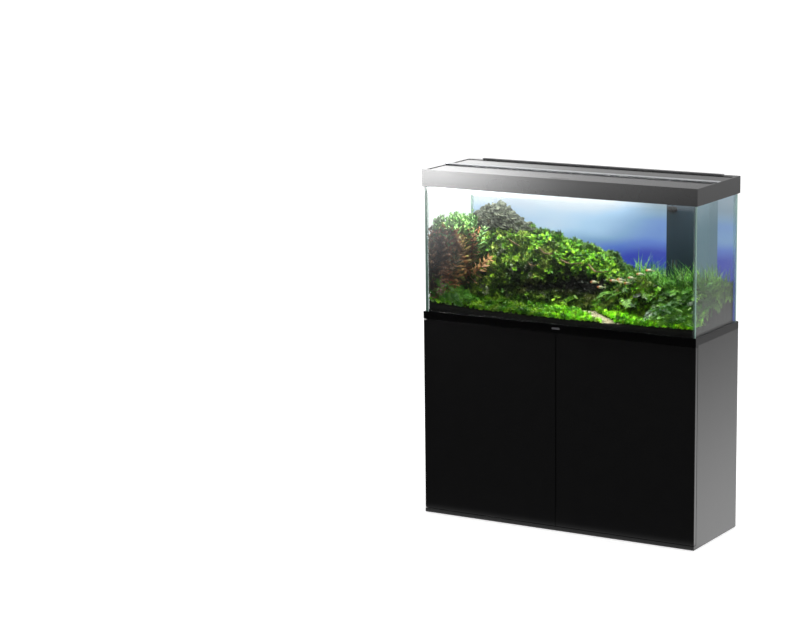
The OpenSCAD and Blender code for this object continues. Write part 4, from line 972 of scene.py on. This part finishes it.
def rockFinish():
    paint = bpy.data.materials.new("rock")
    t = Tree(paint)
    coords = t.add("TexCoord").outputs["Object"]
    laid = t.add("Mapping", Vector=coords, Rotation=(0.3, rock["layerTilt"], 0.1), Scale=(1, 1, 3.5))
    layers = t.add("TexNoise", Vector=laid, Scale=42.0, Detail=6.0, Roughness=0.62)
    grain = t.add("TexNoise", Vector=coords, Scale=330.0, Detail=4.0)
    value = t.math("ADD", t.math("MULTIPLY", layers.outputs["Fac"], 0.75),
                   t.math("MULTIPLY", grain.outputs["Fac"], 0.25))
    colour = t.ramp(value, [(0.34, (0.003, 0.004, 0.002)), (0.46, (0.020, 0.024, 0.015)),
                            (0.55, (0.09, 0.10, 0.07)), (0.68, (0.26, 0.27, 0.21))])
    lift = t.add("Bump", Strength=1.0, Distance=0.006, Height=value)
    t.out(t.add("BsdfPrincipled", Base_Color=colour, Roughness=0.85, Normal=lift).outputs[0])
    return paint


def buildRock():
    bm = bmesh.new()
    bmesh.ops.create_icosphere(bm, subdivisions=6, radius=1)
    ways = np.array([v.co for v in bm.verts])
    ways /= np.linalg.norm(ways, axis=1, keepdims=True)
    reach = np.full(len(ways), 2.0)
    for way, distance in rock["breaks"]:
        way = np.array(way) / np.linalg.norm(way)
        facing = ways @ way
        reach = np.where(facing > 0.05, np.minimum(reach, distance / np.maximum(facing, 0.05)), reach)
    half = np.array(rock["half"])
    spots = ways * reach[:, None] * half
    slant = spots @ np.array([math.sin(rock["layerTilt"]), 0.25, math.cos(rock["layerTilt"])])
    warp = swell(spots, 0.05, 71) * 0.012
    ridges = np.abs(((slant + warp) * rock["layers"]) % 1 - 0.5) * 2
    depth = rock["depth"] * (ridges - 0.5) + 0.007 * swell(spots, 0.035, 72)
    depth = depth + 0.0022 * swell(spots, 0.012, 73)
    spots = spots + ways * depth[:, None] + np.array(rock["middle"])
    spots[:, 0] = np.maximum(spots[:, 0], -ground["reachX"])  # it stays clear of the end pane
    for v, spot in zip(bm.verts, spots):
        v.co = spot
    bmesh.ops.recalc_face_normals(bm, faces=bm.faces)
    mesh = bpy.data.meshes.new("rock")
    bm.to_mesh(mesh)
    bm.free()
    newPiece("ridge_rock", mesh, tankBody, ["rock"], rockFinish())


# bare twigs that lean out of the moss: points along each, then its thickness
twigs = [
    ([(-0.34, 0.02, 1.130), (-0.30, -0.015, 1.128), (-0.25, -0.03, 1.112)], 0.0032),
    ([(-0.17, -0.02, 1.112), (-0.12, -0.055, 1.096), (-0.08, -0.07, 1.102)], 0.0030),
    ([(-0.06, -0.04, 1.074), (0.01, -0.085, 1.070), (0.06, -0.09, 1.078)], 0.0028),
    ([(0.06, -0.03, 1.060), (0.12, -0.075, 1.045), (0.17, -0.08, 1.052)], 0.0030),
    ([(-0.22, -0.04, 1.060), (-0.16, -0.09, 1.050), (-0.12, -0.10, 1.062)], 0.0028),
    ([(-0.49, -0.02, 1.120), (-0.46, -0.06, 1.105), (-0.41, -0.07, 1.118)], 0.0030),
]


def buildTwigs():
    lines = bpy.data.curves.new("twigs", "CURVE")
    lines.dimensions = "3D"
    lines.resolution_u = 6
    lines.bevel_depth = 1.0
    lines.bevel_resolution = 2
    for points, thick in twigs:
        line = lines.splines.new("BEZIER")
        line.bezier_points.add(len(points) - 1)
        for n, (knot, place) in enumerate(zip(line.bezier_points, points)):
            knot.co = place
            knot.radius = thick * (1 - 0.55 * n / len(points))
            knot.handle_left_type = knot.handle_right_type = "AUTO"
    holder = bpy.data.objects.new("twigs_line", lines)
    stage.collection.objects.link(holder)
    mesh = bpy.data.meshes.new_from_object(holder.evaluated_get(bpy.context.evaluated_depsgraph_get()))
    bpy.data.objects.remove(holder)
    bark = plainFinish("bark", [(0.3, (0.03, 0.018, 0.008)), (0.7, (0.20, 0.11, 0.045))], 190, 0.75,
                       bump=0.5, distance=0.001)
    newPiece("twigs", mesh, tankBody, ["planted_hill"], bark)


# fish: place, heading in degrees, length
fishes = [
    ((0.098, -0.060, 1.000), 8, 0.040), ((0.135, -0.075, 0.985), 20, 0.038),
    ((0.185, -0.060, 1.012), 12, 0.042), ((0.213, -0.050, 1.007), 350, 0.036),
    ((0.222, -0.075, 1.022), 15, 0.040), ((0.262, -0.060, 1.030), 5, 0.038),
    ((0.258, -0.085, 1.012), 25, 0.036), ((0.300, -0.060, 1.048), 10, 0.040),
    ((0.335, -0.050, 1.064), 14, 0.038),
]
# each fin: its place along the body, rise, lean and size, for a body one unit long
fins = [
    {"at": 0.38, "rise": 0.0, "lean": 0.55, "size": 0.17},
    {"at": 0.38, "rise": 0.0, "lean": -0.55, "size": 0.17},
    {"at": 0.0, "rise": 0.10, "lean": 0.7, "size": 0.14},
    {"at": 0.12, "rise": -0.09, "lean": -0.6, "size": 0.12},
]


def fishFinish():
    paint = bpy.data.materials.new("fish")
    t = Tree(paint)
    share = t.add("Attribute", {"attribute_name": "share"}).outputs["Fac"]
    coords = t.add("TexCoord").outputs["Object"]
    scales = t.add("TexVoronoi", Vector=coords, Scale=900.0)
    ripple = t.math("MULTIPLY", t.math("SUBTRACT", scales.outputs["Distance"], 0.4), 0.06)
    colour = t.ramp(t.math("ADD", share, ripple),
                    [(0.0, (0.75, 0.16, 0.06)), (0.2, (0.80, 0.26, 0.12)), (0.3, (0.72, 0.62, 0.42)),
                     (0.75, (0.42, 0.50, 0.30)), (1.0, (0.78, 0.74, 0.42))])
    lift = t.add("Bump", Strength=0.2, Distance=0.0004, Height=scales.outputs["Distance"])
    t.out(t.add("BsdfPrincipled", Base_Color=colour, Roughness=0.3, Normal=lift).outputs[0])
    return paint


def buildFish():
    bm = bmesh.new()
    share = bm.verts.layers.float.new("share")
    for place, heading, length in fishes:
        before = set(bm.verts)
        trunk = bmesh.ops.create_uvsphere(bm, u_segments=12, v_segments=9, radius=0.5)["verts"]
        bmesh.ops.rotate(bm, verts=trunk, cent=(0, 0, 0), matrix=Matrix.Rotation(math.pi / 2, 3, "Y"))
        for v in trunk:
            slim = 1 - 0.55 * max(0.0, v.co.x + 0.05) / 0.55
            v.co = (v.co.x * 0.80, v.co.y * 0.17 * slim, v.co.z * 0.30 * slim)
        for fin in fins:
            web = bmesh.ops.create_grid(bm, x_segments=2, y_segments=1, size=0.5)["verts"]
            bmesh.ops.translate(bm, vec=(0.5, 0, 0), verts=web)
            bmesh.ops.scale(bm, vec=(fin["size"], fin["size"] * 0.5, 1), verts=web)
            bmesh.ops.rotate(bm, verts=web, cent=(0, 0, 0), matrix=Matrix.Rotation(math.pi / 2, 3, "X"))
            bmesh.ops.rotate(bm, verts=web, cent=(0, 0, 0), matrix=Matrix.Rotation(-fin["lean"], 3, "Y"))
            bmesh.ops.translate(bm, vec=(fin["at"], 0, fin["rise"]), verts=web)
        new = [v for v in bm.verts if v not in before]
        for v in new:
            v[share] = min(max((v.co.x + 0.4) / 0.9, 0), 1)
        bmesh.ops.scale(bm, vec=(length,) * 3, verts=new)
        turned = Matrix.Translation(place) @ Matrix.Rotation(math.radians(heading), 4, "Z")
        bmesh.ops.transform(bm, matrix=turned, verts=new)
    mesh = bpy.data.meshes.new("fish")
    bm.to_mesh(mesh)
    bm.free()
    mesh.shade_smooth()
    newPiece("fish_shoal", mesh, tankBody, [], fishFinish())


# rubble on the sandy path
def buildRubble():
    shapes = []
    for n in range(4):
        bm = bmesh.new()
        bmesh.ops.create_icosphere(bm, subdivisions=1, radius=1)
        rng = np.random.default_rng(700 + n)
        for v in bm.verts:
            v.co *= rng.uniform(0.7, 1.15)
        bmesh.ops.scale(bm, vec=(1, 0.8, 0.6), verts=bm.verts)
        shapes.append(shapeOf(bm))
    spots, _, rng = sow(2600, 710, (-0.02, 0.34), (-ground["reachY"], -0.088))
    spots = spots[pathShare(spots[:, 0], spots[:, 1]) > 0.15]
    number = len(spots)
    scales = rng.uniform(0.0010, 0.0032, number)
    turns = aimed(rng.normal(size=(number, 3)), rng.uniform(0, 6, number))
    mesh = tiled("rubble", shapes, spots, turns, scales, rng.uniform(0, 1, number), np.ones(number))
    stone = leafFinish("rubble", [(0.0, (0.22, 0.15, 0.07)), (0.5, (0.56, 0.46, 0.29)),
                                  (1.0, (0.85, 0.79, 0.62))], 0.85)
    newPiece("path_rubble", mesh, tankBody, ["gravel_bed"], stone)


# a dark mesh behind the inlet slots of the filter box: its middle, and how far behind the front
inlet = {"x": 0.3705, "z": 1.067, "behind": 0.0032, "width": 0.036, "height": 0.050}


def buildScreen():
    low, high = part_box("filter_body")
    bm = bmesh.new()
    bmesh.ops.create_grid(bm, x_segments=24, y_segments=44, size=0.5)
    bmesh.ops.rotate(bm, verts=bm.verts, cent=(0, 0, 0), matrix=Matrix.Rotation(math.pi / 2, 3, "X"))
    bmesh.ops.scale(bm, vec=(inlet["width"], 1, inlet["height"]), verts=bm.verts)
    bmesh.ops.translate(bm, vec=(inlet["x"], low.y + inlet["behind"], inlet["z"]), verts=bm.verts)
    bmesh.ops.inset_individual(bm, faces=bm.faces, thickness=0.0005)
    mesh = bpy.data.meshes.new("inlet_screen")
    bm.to_mesh(mesh)
    bm.free()
    newPiece("inlet_screen", mesh, tankBody, [], paints["blackPlastic"])


# small rounded edges on the hard pieces: node, its finish, edge radius in metres
softEdges = {
    "door_left": ("doorLaminate", 0.0004), "door_right": ("doorLaminate", 0.0004),
    "side_panel_left": ("laminate", 0.0008), "side_panel_right": ("laminate", 0.0008),
    "bottom_plate": ("laminate", 0.0008), "base_frame": ("basePlastic", 0.0007),
    "badge": ("badgeMetal", 0.0005), "hood_frame": ("hoodPlastic", 0.0007),
    "front_lid": ("hoodPlastic", 0.0005), "rear_lid": ("hoodPlastic", 0.0005),
    "crossbar": ("satinMetal", 0.0006), "rear_strip": ("stripPlastic", 0.0008),
    "filter_body": ("filterPlastic", 0.0007), "filter_lid": ("filterPlastic", 0.0006),
    "outlet_nozzle": ("nozzlePlastic", 0.0006), "shelf_left": ("laminate", 0.0006),
    "shelf_right": ("laminate", 0.0006),
}


def softCopy(node, finish, radius):
    source = cadNodes[node]
    mesh = source.data.copy()
    mesh.name = node + "_soft"
    mesh.transform(source.matrix_world)
    bm = bmesh.new()
    bm.from_mesh(mesh)
    bmesh.ops.remove_doubles(bm, verts=bm.verts, dist=0.00002)
    bmesh.ops.dissolve_limit(bm, angle_limit=math.radians(1.0), verts=bm.verts, edges=bm.edges)
    for face in bm.faces:
        face.smooth = False
    bm.to_mesh(mesh)
    bm.free()
    piece = newPiece(node + "_soft", mesh, nodeBody[node], [node], paints[finish])
    bevel = piece.modifiers.new("edges", "BEVEL")
    bevel.width = radius
    bevel.segments = 2
    bevel.limit_method = "ANGLE"
    bevel.angle_limit = math.radians(40)
    bevel.use_clamp_overlap = True


# the water surface: how far below the top of the glass, and its ripples
water = {"below": 0.021, "ripple": 0.0006, "rippleSize": 0.09}


def waterFinish():
    paint = bpy.data.materials.new("water")
    t = Tree(paint)
    waves = t.add("TexNoise", Vector=t.add("TexCoord").outputs["Object"], Scale=14.0, Detail=2.0)
    lift = t.add("Bump", Strength=0.35, Distance=0.004, Height=waves.outputs["Fac"])
    tint = t.ramp(waves.outputs["Fac"], [(0.3, (0.93, 0.985, 0.98)), (0.7, (0.97, 0.995, 0.99))])
    through = t.add("BsdfTransparent", Color=tint)
    mirror = t.add("BsdfGlossy", Color=(1, 1, 1), Roughness=0.03, Normal=lift)
    facing = t.add("LayerWeight", Blend=0.5).outputs["Facing"]
    share = t.math("ADD", t.math("MULTIPLY", t.math("POWER", facing, 5.0), 0.9), 0.03)
    t.out(t.add("MixShader", Fac=share, i1=through, i2=mirror).outputs[0])
    return paint


def buildWater():
    low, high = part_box("end_panes")
    bm = bmesh.new()
    bmesh.ops.create_grid(bm, x_segments=120, y_segments=36, size=1)
    bmesh.ops.scale(bm, vec=(ground["reachX"], ground["reachY"], 1), verts=bm.verts)
    rise = swell(np.array([v.co[:2] for v in bm.verts]), water["rippleSize"], 91) * water["ripple"]
    for v, z in zip(bm.verts, rise):
        v.co.z = high.z - water["below"] + z
    mesh = bpy.data.meshes.new("water")
    bm.to_mesh(mesh)
    bm.free()
    mesh.shade_smooth()
    newPiece("water_surface", mesh, tankBody, [], waterFinish())


buildScreen()
buildSoil()
buildRock()
buildTwigs()
plantTank()
buildRubble()
buildFish()
print("soil, rock, plants and fish in the tank")
buildWater()
for node, (finish, radius) in softEdges.items():
    softCopy(node, finish, radius)
print("water and rounded edges")
